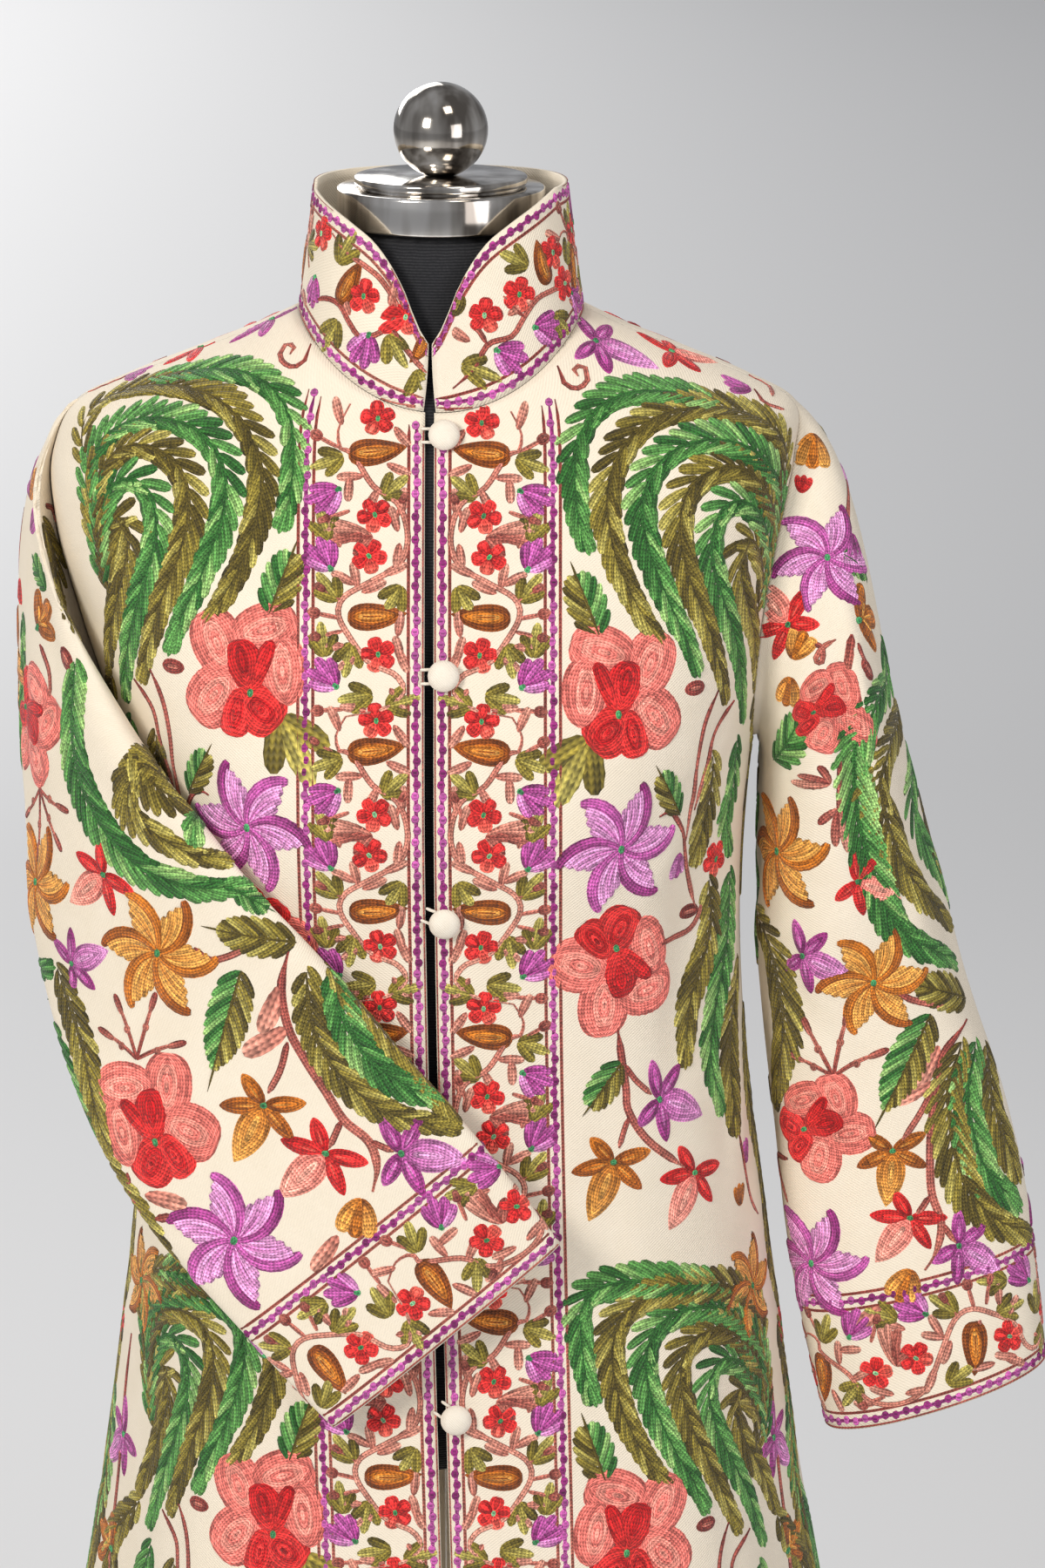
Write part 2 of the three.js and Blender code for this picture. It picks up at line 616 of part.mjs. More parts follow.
// A cloth-covered domed button on its shank, along +Y in its own frame, then turned to the front.
function buttonGeometry() {
  const foot = SEAM;
  const under = foot + SHANK.tall;
  const profile = [
    [0, foot],
    [SHANK.radius, foot],
    [SHANK.radius, under],
    [BUTTON_RADIUS - 0.8, under + 0.3],
    [BUTTON_RADIUS, under + 1.6],
    [BUTTON_RADIUS - 0.7, under + 3.2],
    [BUTTON_RADIUS * 0.62, under + 4.7],
    [0, under + 5.4],
  ];
  return new THREE.LatheGeometry(
    profile.map(([r, y]) => new THREE.Vector2(r, y)),
    12,
  );
}

// A narrow cloth loop from the right front's edge round the shank, in the button's frame:
// +Y is out of the cloth and the shank is at the origin.
function loopGeometry(reach) {
  const tube = 1.1;
  const round = SHANK.radius + tube + SEAM;
  const high = SEAM + tube + 0.4;
  const points = [new THREE.Vector3(-reach, high, -round)];
  for (let i = 0; i <= 4; i++) {
    const turn = -Math.PI / 2 + (Math.PI * i) / 4;
    points.push(new THREE.Vector3(round * Math.cos(turn), high, round * Math.sin(turn)));
  }
  points.push(new THREE.Vector3(-reach, high, round));
  const path = new THREE.CurvePath();
  for (let i = 1; i < points.length; i++) path.add(new THREE.LineCurve3(points[i - 1], points[i]));
  const section = new THREE.Shape(
    Array.from({ length: 5 }, (_, i) => {
      const turn = (i / 5) * 2 * Math.PI;
      return new THREE.Vector2(tube * Math.cos(turn), tube * Math.sin(turn));
    }),
  );
  return new THREE.ExtrudeGeometry(section, { steps: 10, extrudePath: path, bevelEnabled: false });
}

// The dress form and its stand

function formGeometry() {
  const around = 28;
  const shoulderInset = CLOTH + 0.8;
  const waistInset = CLOTH + 7;
  const rings = [];
  const footUp = upAtZ(FORM_FOOT_Z);
  const ups = PANEL_ROWS.filter((up, i) => up > footUp + 20 && (up >= TIP_UP || i % 2 === 0));
  ups.pop();
  for (const up of [footUp, ...ups]) {
    const near = smoothStep((up - ARMPIT_UP) / (TIP_UP - ARMPIT_UP - 30));
    const inset = waistInset + (shoulderInset - waistInset) * near;
    rings.push(
      Array.from({ length: around }, (_, c) => {
        const angle = (c / around) * 2 * Math.PI;
        const p = plainBody(up, angle, true).addScaledVector(bodyNormal(up, angle, true), -inset);
        if (up === footUp) p.z = FORM_FOOT_Z;
        return p;
      }),
    );
  }
  const throat = [
    { half: 66, front: 64, back: 57, zFront: 1374, zSide: 1406, zBack: 1411 },
    { half: 59, front: 58.5, back: 57, zFront: 1397, zSide: 1417, zBack: 1420 },
    { half: NECK_RADIUS, front: NECK_RADIUS, back: NECK_RADIUS, zFront: 1424, zSide: 1432, zBack: 1433 },
    {
      half: NECK_RADIUS,
      front: NECK_RADIUS,
      back: NECK_RADIUS,
      zFront: CAP_FOOT_Z - SEAM,
      zSide: CAP_FOOT_Z - SEAM,
      zBack: CAP_FOOT_Z - SEAM,
    },
  ];
  for (const t of throat) {
    rings.push(
      Array.from({ length: around }, (_, c) => {
        const angle = (c / around) * 2 * Math.PI;
        const cosine = Math.cos(angle);
        const depth = cosine > 0 ? t.front : t.back;
        const lift = (cosine > 0 ? t.zFront : t.zBack) - t.zSide;
        return new THREE.Vector3(
          t.half * Math.sin(angle),
          -depth * cosine,
          t.zSide + lift * cosine * cosine,
        );
      }),
    );
  }
  return stack(rings);
}

// A solid through closed rings, shut flat at both ends.
function stack(rings) {
  const around = rings[0].length;
  const points = [];
  const faces = [];
  for (const ring of rings) for (const p of ring) points.push(p.x, p.y, p.z);
  for (let r = 0; r < rings.length - 1; r++) {
    for (let c = 0; c < around; c++) {
      const a = r * around + c;
      const b = r * around + ((c + 1) % around);
      faces.push(a, b, b + around, a, b + around, a + around);
    }
  }
  for (const [r, up] of [
    [0, false],
    [rings.length - 1, true],
  ]) {
    const hub = points.length / 3;
    const middle = rings[r].reduce((s, p) => s.add(p), new THREE.Vector3()).divideScalar(around);
    points.push(middle.x, middle.y, middle.z);
    for (let c = 0; c < around; c++) {
      const a = r * around + c;
      const b = r * around + ((c + 1) % around);
      faces.push(...(up ? [a, b, hub] : [b, a, hub]));
    }
  }
  return indexed(points, faces);
}

// A turned solid on the Z axis from a profile of [radius, height] points that starts and ends on it.
function turned(profile, around) {
  const geometry = new THREE.LatheGeometry(
    profile.map(([r, z]) => new THREE.Vector2(r, z)),
    around,
  );
  return geometry.rotateX(Math.PI / 2);
}

const CAP = { radius: 58.5, tall: 21, discRadius: 48.5, discTall: 6 };

function capGeometry() {
  const foot = CAP_FOOT_Z;
  const rim = foot + CAP.tall;
  const top = rim + CAP.discTall;
  return turned(
    [
      [0, foot],
      [CAP.radius, foot],
      [CAP.radius, rim - 1.2],
      [CAP.radius - 1.2, rim],
      [CAP.discRadius + 1.5, rim + 0.6],
      [CAP.discRadius, rim + 1.4],
      [CAP.discRadius, top - 2.4],
      [CAP.discRadius - 3, top],
      [0, top],
    ],
    32,
  );
}

function ballGeometry() {
  const foot = CAP_FOOT_Z + CAP.tall + CAP.discTall + SEAM;
  const footRadius = 9;
  const low = Math.asin(footRadius / BALL_RADIUS);
  const centre = foot + BALL_RADIUS * Math.cos(low);
  const profile = [[0, foot]];
  const steps = 11;
  for (let i = 0; i <= steps; i++) {
    const turn = low + ((Math.PI - low) * i) / steps;
    const r = i === steps ? 0 : BALL_RADIUS * Math.sin(turn);
    profile.push([r, centre - BALL_RADIUS * Math.cos(turn)]);
  }
  return turned(profile, 24);
}

const POLE_RADIUS = 16;
const PLATE_TALL = 10;
const SOCKET = { radius: 26, tall: 34 };

function baseGeometry() {
  return turned(
    [
      [0, 0],
      [BASE_RADIUS, 0],
      [BASE_RADIUS, PLATE_TALL - 4],
      [BASE_RADIUS - 4, PLATE_TALL],
      [0, PLATE_TALL + 2],
    ],
    48,
  );
}

function socketGeometry() {
  const foot = PLATE_TALL + 2.4;
  const bore = POLE_RADIUS + SEAM;
  return turned(
    [
      [bore, foot],
      [SOCKET.radius + 6, foot],
      [SOCKET.radius, foot + 8],
      [SOCKET.radius, foot + SOCKET.tall],
      [bore, foot + SOCKET.tall],
      [bore, foot],
    ],
    28,
  );
}

function poleGeometry() {
  return turned(
    [
      [0, PLATE_TALL + 2.4],
      [POLE_RADIUS, PLATE_TALL + 2.4],
      [POLE_RADIUS, FORM_FOOT_Z - SEAM],
      [0, FORM_FOOT_Z - SEAM],
    ],
    24,
  );
}

// The assembled object

const FINISH = {
  cloth: new THREE.MeshStandardMaterial({ color: 0xe9dfcb, roughness: 0.95, metalness: 0 }),
  button: new THREE.MeshStandardMaterial({ color: 0xefe9dc, roughness: 0.9, metalness: 0 }),
  form: new THREE.MeshStandardMaterial({ color: 0x17181c, roughness: 0.9, metalness: 0 }),
  chrome: new THREE.MeshStandardMaterial({ color: 0xc9c5be, roughness: 0.15, metalness: 1 }),
};

const jacket = new THREE.Group();

function add(name, geometry, finish) {
  const mesh = new THREE.Mesh(geometry, FINISH[finish]);
  mesh.name = name;
  jacket.add(mesh);
  return mesh;
}

const { left, right } = ARMHOLES;
const leftEdge = (up) => frontEdge(up, 1);
const rightEdge = (up) => frontEdge(up, -1);
const fullTurn = 2 * Math.PI;
const panels = {
  front_left: bodyPanel(PANEL_ROWS, 12, leftEdge, () => seamAngle(-1), 0, left.front),
  front_right: bodyPanel(PANEL_ROWS, 12, () => -seamAngle(-1), rightEdge, right.front, 0),
  back: bodyPanel(PANEL_ROWS, 22, () => seamAngle(1), () => fullTurn - seamAngle(1), left.back, right.back),
};
for (const [name, geometry] of Object.entries(panels)) add(name, geometry, "cloth");
add("sleeve_left", sleeve(1, HANGING_SLEEVE, HANGING_LEAVES, HANGING_CREASES, false), "cloth");
add("sleeve_right", sleeve(-1, FOLDED_SLEEVE, FOLDED_LEAVES, FOLDED_CREASES, true), "cloth");
add("collar", collar(), "cloth");

for (const [i, z] of BUTTON_HEIGHTS.entries()) {
  const shankX = openingX(z) + OPENING.slit / 2 + 5.6;
  const { point, out } = frontAt(z, shankX);
  const turn = new THREE.Quaternion().setFromUnitVectors(new THREE.Vector3(0, 1, 0), out);
  const button = add(`button_${i + 1}`, buttonGeometry(), "button");
  button.position.copy(point);
  button.quaternion.copy(turn);
  const loop = add(`loop_${i + 1}`, loopGeometry(shankX - openingX(z) + 5), "button");
  loop.position.copy(point);
  loop.quaternion.copy(turn);
}

add("form_torso", formGeometry(), "form");
add("neck_cap", capGeometry(), "chrome");
add("neck_ball", ballGeometry(), "chrome");
add("pole", poleGeometry(), "chrome");
add("pole_socket", socketGeometry(), "chrome");
add("base_plate", baseGeometry(), "chrome");

export default jacket;
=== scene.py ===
"""Looks of a long embroidered jacket on a limbless dress form: cloth, chain-stitch embroidery, chrome.

Sizes in the tables are millimetres. Blender's meshes are in metres, in the frame of the CAD model.
"""

import math
import random
from collections import namedtuple

import bpy
import numpy as np
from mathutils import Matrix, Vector


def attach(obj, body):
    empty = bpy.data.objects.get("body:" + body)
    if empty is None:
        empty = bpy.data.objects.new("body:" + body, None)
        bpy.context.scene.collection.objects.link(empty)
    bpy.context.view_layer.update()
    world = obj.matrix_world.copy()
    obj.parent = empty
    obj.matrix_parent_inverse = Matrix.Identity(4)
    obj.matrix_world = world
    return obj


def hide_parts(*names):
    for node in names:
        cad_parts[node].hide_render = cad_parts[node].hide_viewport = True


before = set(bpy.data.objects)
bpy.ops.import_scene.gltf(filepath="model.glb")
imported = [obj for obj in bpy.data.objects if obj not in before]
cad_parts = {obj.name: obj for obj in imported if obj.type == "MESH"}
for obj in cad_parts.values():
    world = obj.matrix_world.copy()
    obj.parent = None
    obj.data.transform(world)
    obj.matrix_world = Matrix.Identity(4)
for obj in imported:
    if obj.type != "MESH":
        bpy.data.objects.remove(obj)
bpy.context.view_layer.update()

MM = 0.001
CLOTH = 2.0  # thickness of the lined cloth
SEAM = 0.3
HEM_Z = 400
ARMPIT_Z = 1156
CAP_FOOT_Z = 1449
BUTTON_HEIGHTS = [1343, 1219.5, 1083.5, 939.5, 797, 651]

# Camera of the photograph, in metres
CAMERA_PLACE = Vector((0.0456, -3.0, 1.887))
CAMERA_AIM = Vector((0.0456, -0.06, 1.1405))
CAMERA_LENS = 123.8
PHOTO_WIDE = 1200
PHOTO_TALL = 1800

random.seed(11)


def rows_of(kind, rows):
    """A table's rows, with its columns named by kind."""
    return [kind(*row) for row in rows]


# Camera

def make_camera():
    data = bpy.data.cameras.new("camera")
    data.sensor_width = 36
    data.lens = CAMERA_LENS
    camera = bpy.data.objects.new("camera", data)
    bpy.context.scene.collection.objects.link(camera)
    camera.location = CAMERA_PLACE
    camera.rotation_euler = (CAMERA_AIM - CAMERA_PLACE).to_track_quat("-Z", "Y").to_euler()
    bpy.context.scene.camera = camera


make_camera()


def photo_pixel(points):
    """The pixels of the photograph's frame where points in millimetres show."""
    eye = np.array(CAMERA_PLACE) / MM
    ahead = np.array((CAMERA_AIM - CAMERA_PLACE).normalized())
    right = np.array([1.0, 0.0, 0.0])
    up = np.cross(right, ahead)
    far = (points - eye) @ ahead
    zoom = CAMERA_LENS / 36 * PHOTO_TALL
    across = PHOTO_WIDE / 2 + (points - eye) @ right / far * zoom
    down = PHOTO_TALL / 2 - (points - eye) @ up / far * zoom
    return np.stack([across, down], -1)


# The jacket's form, as in the CAD model

Ring = namedtuple("Ring", "z_front z_side z_back left right front back")
BODY_RINGS = rows_of(Ring, [
    (400, 400, 400, 247, 238, 178, 168),
    (520, 520, 520, 236, 227, 171, 161),
    (640, 640, 640, 218, 209, 164, 153),
    (740, 740, 740, 203, 195, 158, 146),
    (830, 830, 830, 193, 185, 152, 137),
    (920, 920, 920, 181, 176, 145, 124),
    (1000, 1000, 1000, 173, 171, 140, 112),
    (1070, 1070, 1070, 171, 171, 142, 108),
    (1130, 1130, 1130, 174, 177, 146, 108),
    (1180, 1180, 1180, 180, 190, 142, 109),
    (1226, 1232, 1232, 187, 206, 131, 109),
    (1267, 1284, 1284, 195, 219, 116, 105),
    (1298, 1324, 1326, 201, 219, 103, 97),
    (1317, 1348, 1352, 200, 207, 95, 89),
    (1329, 1361, 1367, 177, 181, 89, 82),
    (1340, 1376, 1382, 141, 142, 84, 77),
    (1348, 1390, 1395, 106, 106, 80, 73),
    (1355, 1402, 1407, 79.5, 79.5, 76, 70),
])
SQUARENESS = 0.1
Bust = namedtuple("Bust", "x z wide tall rise")
BUST = Bust(84, 1135, 58, 62, 9)
Opening = namedtuple("Opening", "x hem_x bend_z slit")
OPENING = Opening(-5.5, 7, 1150, 5)

# Soft folds: ridges where rise is above 0, troughs below. Angles in degrees from the middle of the
# front towards the wearer's left. FINE_FOLDS holds drag lines and dents too fine for the solids.
Fold = namedtuple("Fold", "from_angle from_z to_angle to_z wide rise")
BODY_FOLDS = rows_of(Fold, [
    (55, 1160, 46, 960, 15, -5),
    (71, 1120, 66, 880, 14, 5),
    (38, 900, 40, 330, 30, 9),
    (62, 860, 63, 330, 26, -9),
    (84, 930, 86, 330, 30, 8),
    (118, 880, 114, 330, 34, -9),
    (146, 960, 143, 330, 32, 8),
    (168, 900, 170, 330, 26, -7),
    (-52, 1150, -44, 980, 15, -4),
    (-34, 880, -37, 330, 30, 8),
    (-59, 900, -58, 330, 26, -9),
    (-82, 940, -83, 330, 30, 9),
    (-110, 900, -107, 330, 30, -8),
    (-137, 930, -134, 330, 34, 9),
    (-163, 860, -160, 330, 24, -6),
    (150, 1130, 138, 930, 16, -4),
    (-150, 1140, -140, 920, 16, -4),
])
FINE_FOLDS = rows_of(Fold, [
    (66, 1215, 44, 1120, 7, -1.6),
    (60, 1180, 36, 1075, 8, 1.3),
    (74, 1060, 58, 905, 7, -1.8),
    (28, 1010, 30, 820, 9, -1.1),
    (18, 880, 14, 640, 12, 1.2),
    (48, 790, 52, 560, 9, -1.5),
    (-62, 1205, -46, 1120, 7, -1.4),
    (-26, 1000, -24, 830, 9, -1.0),
    (-46, 760, -50, 540, 9, -1.4),
    (-76, 1040, -66, 900, 8, -1.6),
    (104, 1210, 128, 1120, 8, -1.5),
    (100, 1060, 112, 900, 8, 1.4),
    (-102, 1215, -126, 1110, 8, -1.4),
    (-98, 1050, -112, 890, 8, 1.3),
    (175, 1050, 184, 900, 12, -1.4),
    (128, 760, 124, 520, 10, -1.3),
    (-124, 740, -120, 500, 10, -1.3),
])

Armhole = namedtuple("Armhole", "front back")
ARMHOLES = {1: Armhole(17, 15), -1: Armhole(7, 14)}
ARMHOLE_FULLNESS = 0.74
TIP_RING = 13.35

Section = namedtuple("Section", "x y z fx fy fz wide ox oy oz deep blunt")
HANGING_SLEEVE = rows_of(Section, [
    (221, 0, 1152, 0, -1, 0, 70, 1, 0, 0.34, 43, 1),
    (230, -3, 1082, 0, -1, 0, 62, 1, 0, 0.26, 53, 1),
    (243, -8, 1005, 0, -1, 0, 50, 1, 0, 0.2, 60, 0.95),
    (258, -14, 936, 0, -1, 0, 43, 1, 0, 0.2, 67, 0.95),
    (269, -20, 874, 0, -1, 0, 40, 1, 0, 0.24, 71, 0.95),
    (278, -26, 820, 0, -1, 0, 39, 1, 0, 0.28, 70, 0.95),
    (287, -31, 769, 0, -1, 0, 38, 1, 0, 0.33, 67, 0.95),
])
FOLDED_SLEEVE = rows_of(Section, [
    (-208, -30, 1182, 0.4, -0.88, 0.24, 70, -0.52, -0.22, 0.82, 44, 1),
    (-198, -58, 1138, 0.52, -0.76, 0.38, 74, -0.72, -0.5, 0.48, 33, 0.97),
    (-176, -90, 1092, 0.68, -0.59, 0.43, 80, -0.64, -0.74, 0.2, 24, 0.9),
    (-141, -119, 1029, 0.79, -0.36, 0.49, 88, -0.38, -0.92, 0.05, 17, 0.8),
    (-97, -144, 965, 0.82, -0.17, 0.55, 91, -0.16, -0.98, 0, 13, 0.76),
    (-43, -161, 905, 0.76, -0.06, 0.65, 88, -0.05, -1, 0, 10.5, 0.72),
    (3, -169, 852, 0.766, 0.03, 0.642, 83, 0.03, -1, 0, 9, 0.7),
])
# The ways that the cloth leaves the armhole, and how far it goes that way
Leaves = namedtuple("Leaves", "tip front under back pull")
HANGING_LEAVES = Leaves((1, 0, -0.25), (0.9, -0.42, -0.4), (0.8, 0, -0.6), (0.9, 0.42, -0.4), 0.58)
FOLDED_LEAVES = Leaves((-1, -0.25, -0.3), (-0.8, -0.65, -0.1), (-0.6, -0.2, -0.75), (-0.9, 0.25, -0.45), 0.8)
Crease = namedtuple("Crease", "at around long wide turn rise")
HANGING_CREASES = rows_of(Crease, [
    (0.3, 78, 0.3, 9, -8, -8),
    (0.26, 55, 0.2, 12, -6, 4),
    (0.62, 100, 0.16, 12, 20, -4),
    (0.5, 20, 0.22, 14, -10, -4),
    (0.55, 250, 0.2, 12, 25, -5),
    (0.38, 285, 0.16, 12, -20, -4),
])
FOLDED_CREASES = rows_of(Crease, [
    (0.46, 30, 0.16, 14, 22, -3.5),
    (0.36, -32, 0.17, 13, -16, -4),
    (0.6, -40, 0.15, 14, 18, -3),
])
COLLAR_BACK_TOP = 1473
COLLAR_SIDE_LEAN = 9
COLLAR_BACK_LEAN = 4
COLLAR_GAP = 1
COLLAR_FOOT_GAP = 3.4
CollarEdge = namedtuple("CollarEdge", "round z")
COLLAR_EDGE = rows_of(CollarEdge, [
    (0, 1391),
    (0.1, 1403),
    (0.19, 1419),
    (0.29, 1432),
    (0.43, 1445),
    (0.63, 1456),
    (0.83, 1465),
    (1, 1473),
])


def smooth_table(rows, knots):
    """A smooth function through the rows of a table, which lie at the knots."""
    rows = np.asarray(rows, float)
    knots = np.asarray(knots, float)
    gaps = np.diff(knots)[:, None]
    slopes = np.diff(rows, axis=0) / gaps
    inner = (slopes[:-1] * gaps[1:] + slopes[1:] * gaps[:-1]) / (gaps[:-1] + gaps[1:])
    tangents = np.concatenate([slopes[:1], inner, slopes[-1:]])

    def at(place):
        place = np.clip(np.asarray(place, float), knots[0], knots[-1])
        i = np.clip(np.searchsorted(knots, place) - 1, 0, len(knots) - 2)
        h = (knots[i + 1] - knots[i])[..., None]
        t = (place - knots[i])[..., None] / h
        start = rows[i] * (2 * t**3 - 3 * t**2 + 1) + tangents[i] * h * (t**3 - 2 * t**2 + t)
        return start + rows[i + 1] * (3 * t**2 - 2 * t**3) + tangents[i + 1] * h * (t**3 - t**2)

    return at


def smooth_step(t):
    c = np.clip(t, 0, 1)
    return c * c * (3 - 2 * c)


def hill(t):
    return np.exp(-t * t)


def unit(v):
    return v / np.maximum(np.linalg.norm(v, axis=-1, keepdims=True), 1e-9)


def body_knots():
    knots = [0.0]
    for a, b in zip(BODY_RINGS, BODY_RINGS[1:]):
        side = math.hypot(b.left - a.left, b.z_side - a.z_side)
        front = math.hypot(b.front - a.front, b.z_front - a.z_front)
        knots.append(knots[-1] + (side + front) / 2)
    return knots


BODY_KNOTS = body_knots()
BODY_TOP = BODY_KNOTS[-1]
ring_at = smooth_table(BODY_RINGS, BODY_KNOTS)
UPS = np.linspace(0, BODY_TOP, 4000)
SIDE_HEIGHTS = ring_at(UPS)[:, 1]
FRONT_HEIGHTS = ring_at(UPS)[:, 0]


def up_at_z(z):
    return np.interp(z, SIDE_HEIGHTS, UPS)


def plain_body(up, angle):
    z_front, z_side, z_back, left, right, front, back = np.moveaxis(ring_at(up), -1, 0)
    s = np.sin(angle)
    c = np.cos(angle)
    lift = np.where(c > 0, z_front, z_back) - z_side
    x = np.where(s > 0, left, right) * s * (1 + SQUARENESS * c * c)
    y = -np.where(c > 0, front, back) * c * (1 + SQUARENESS * s * s)
    z = z_side + lift * c * c
    bust = hill((np.abs(x) - BUST.x) / BUST.wide) * hill((z - BUST.z) / BUST.tall)
    return np.stack([x, y - np.where(c > 0, BUST.rise * bust, 0), z], -1)


def body_normal(up, angle):
    low = np.maximum(up - 0.5, 0)
    high = np.minimum(up + 0.5, BODY_TOP)
    along = plain_body(high, angle) - plain_body(low, angle)
    across = plain_body(up, angle + 0.004) - plain_body(up, angle - 0.004)
    return unit(np.cross(across, along))


def fold_rise(angle, z, half):
    rise = np.zeros_like(angle)
    for f in BODY_FOLDS + FINE_FOLDS:
        down = (f.from_z - z) / (f.from_z - f.to_z)
        middle = np.radians(f.from_angle + (f.to_angle - f.from_angle) * down)
        turn = np.arctan2(np.sin(angle - middle), np.cos(angle - middle))
        if f.to_z < HEM_Z:
            fade = smooth_step(down * 1.25)
        else:
            fade = np.sin(np.pi * np.clip(down, 0, 1))
        inside = (down > 0) & (down < 1)
        rise += np.where(inside, f.rise * fade * hill(turn * half * 0.8 / f.wide), 0)
    return rise


def body(up, angle, inset=0.0):
    point = plain_body(up, angle)
    rise = fold_rise(angle, point[..., 2], ring_at(up)[..., 3])
    return point + body_normal(up, angle) * (rise - inset)[..., None]


def opening_x(z):
    down = smooth_step((OPENING.bend_z - z) / (OPENING.bend_z - HEM_Z))
    return OPENING.x + (OPENING.hem_x - OPENING.x) * down


def front_edge(up, side):
    r = ring_at(up)
    x = opening_x(r[..., 0]) + side * OPENING.slit / 2
    return np.arcsin(x / (np.where(x > 0, r[..., 3], r[..., 4]) * (1 + SQUARENESS)))


def up_at_ring(number):
    return np.interp(number, np.arange(len(BODY_KNOTS)), BODY_KNOTS)


ARMPIT_UP = up_at_z(ARMPIT_Z)
TIP_UP = up_at_ring(TIP_RING)
SEAM_ANGLE = SEAM / 2 / 105


def scoop(high, degrees):
    h = np.clip(high, 0, 1) ** ARMHOLE_FULLNESS
    return math.radians(degrees) * np.sqrt(np.maximum(np.sin(np.pi * h), 0))


def panel_ups(below, beside, above):
    """Places up a panel from the neckline down to the hem, closer round the armhole's two ends."""
    steps = (1 - np.cos(np.pi * np.arange(beside) / beside)) / 2
    ups = np.concatenate([
        ARMPIT_UP * np.arange(below) / below,
        ARMPIT_UP + (TIP_UP - ARMPIT_UP) * steps,
        np.linspace(TIP_UP, BODY_TOP, above + 1),
    ])
    return ups[::-1]


PANEL_UPS = panel_ups(148, 64, 15)


def body_panel(start, end, cut_from, cut_to, columns):
    """A panel's outer face: rows from the neckline down, columns between two edges."""
    ups = PANEL_UPS
    t = np.linspace(0, 1, columns + 1)[None, :]
    begin = np.broadcast_to(start, ups.shape)[:, None]
    finish = np.broadcast_to(end, ups.shape)[:, None]
    high = ((ups - ARMPIT_UP) / (TIP_UP - ARMPIT_UP))[:, None]
    cut = scoop(high, cut_from) * (1 - t) ** 3 - scoop(high, cut_to) * t**3
    return body(np.repeat(ups[:, None], columns + 1, axis=1), begin + (finish - begin) * t + cut)


# Sleeves

CAP_ROWS = 8
SLEEVE_ROWS = 16
SLEEVE_AROUND = 24


def armhole_point(side, around):
    high = (1 + np.cos(around)) / 2
    margin = SEAM / (TIP_UP - ARMPIT_UP)
    up = ARMPIT_UP + (TIP_UP - ARMPIT_UP) * (margin + high * (1 - 2 * margin))
    in_front = np.sin(around) >= 0
    cut = np.where(in_front, scoop(high, ARMHOLES[side].front), scoop(high, ARMHOLES[side].back))
    clear = np.minimum(SEAM_ANGLE * 1.2, cut)
    angle = np.pi / 2 + np.where(in_front, -1, 1) * (cut - clear)
    return body(up, side * angle)


def clear_of_body(p, margin):
    up = up_at_z(p[..., 2])
    r = ring_at(up)
    half = np.where(p[..., 0] > 0, r[..., 3], r[..., 4])
    depth = np.where(p[..., 1] < 0, r[..., 5], r[..., 6])
    skin = body(up, np.arctan2(p[..., 0] / half, -p[..., 1] / depth))
    near = np.hypot(p[..., 0], p[..., 1])
    least = np.hypot(skin[..., 0], skin[..., 1]) + margin
    push = np.maximum(least / near, 1)
    return p * np.stack([push, push, np.ones_like(push)], -1)


def eased(rows, up_to, times):
    for _ in range(times):
        before = rows.copy()
        near = np.roll(before, 1, 1) + np.roll(before, -1, 1)
        near[1:-1] += before[:-2] + before[2:]
        rows[1:up_to] += (near[1:up_to] / 4 - rows[1:up_to]) * 0.5
    return rows


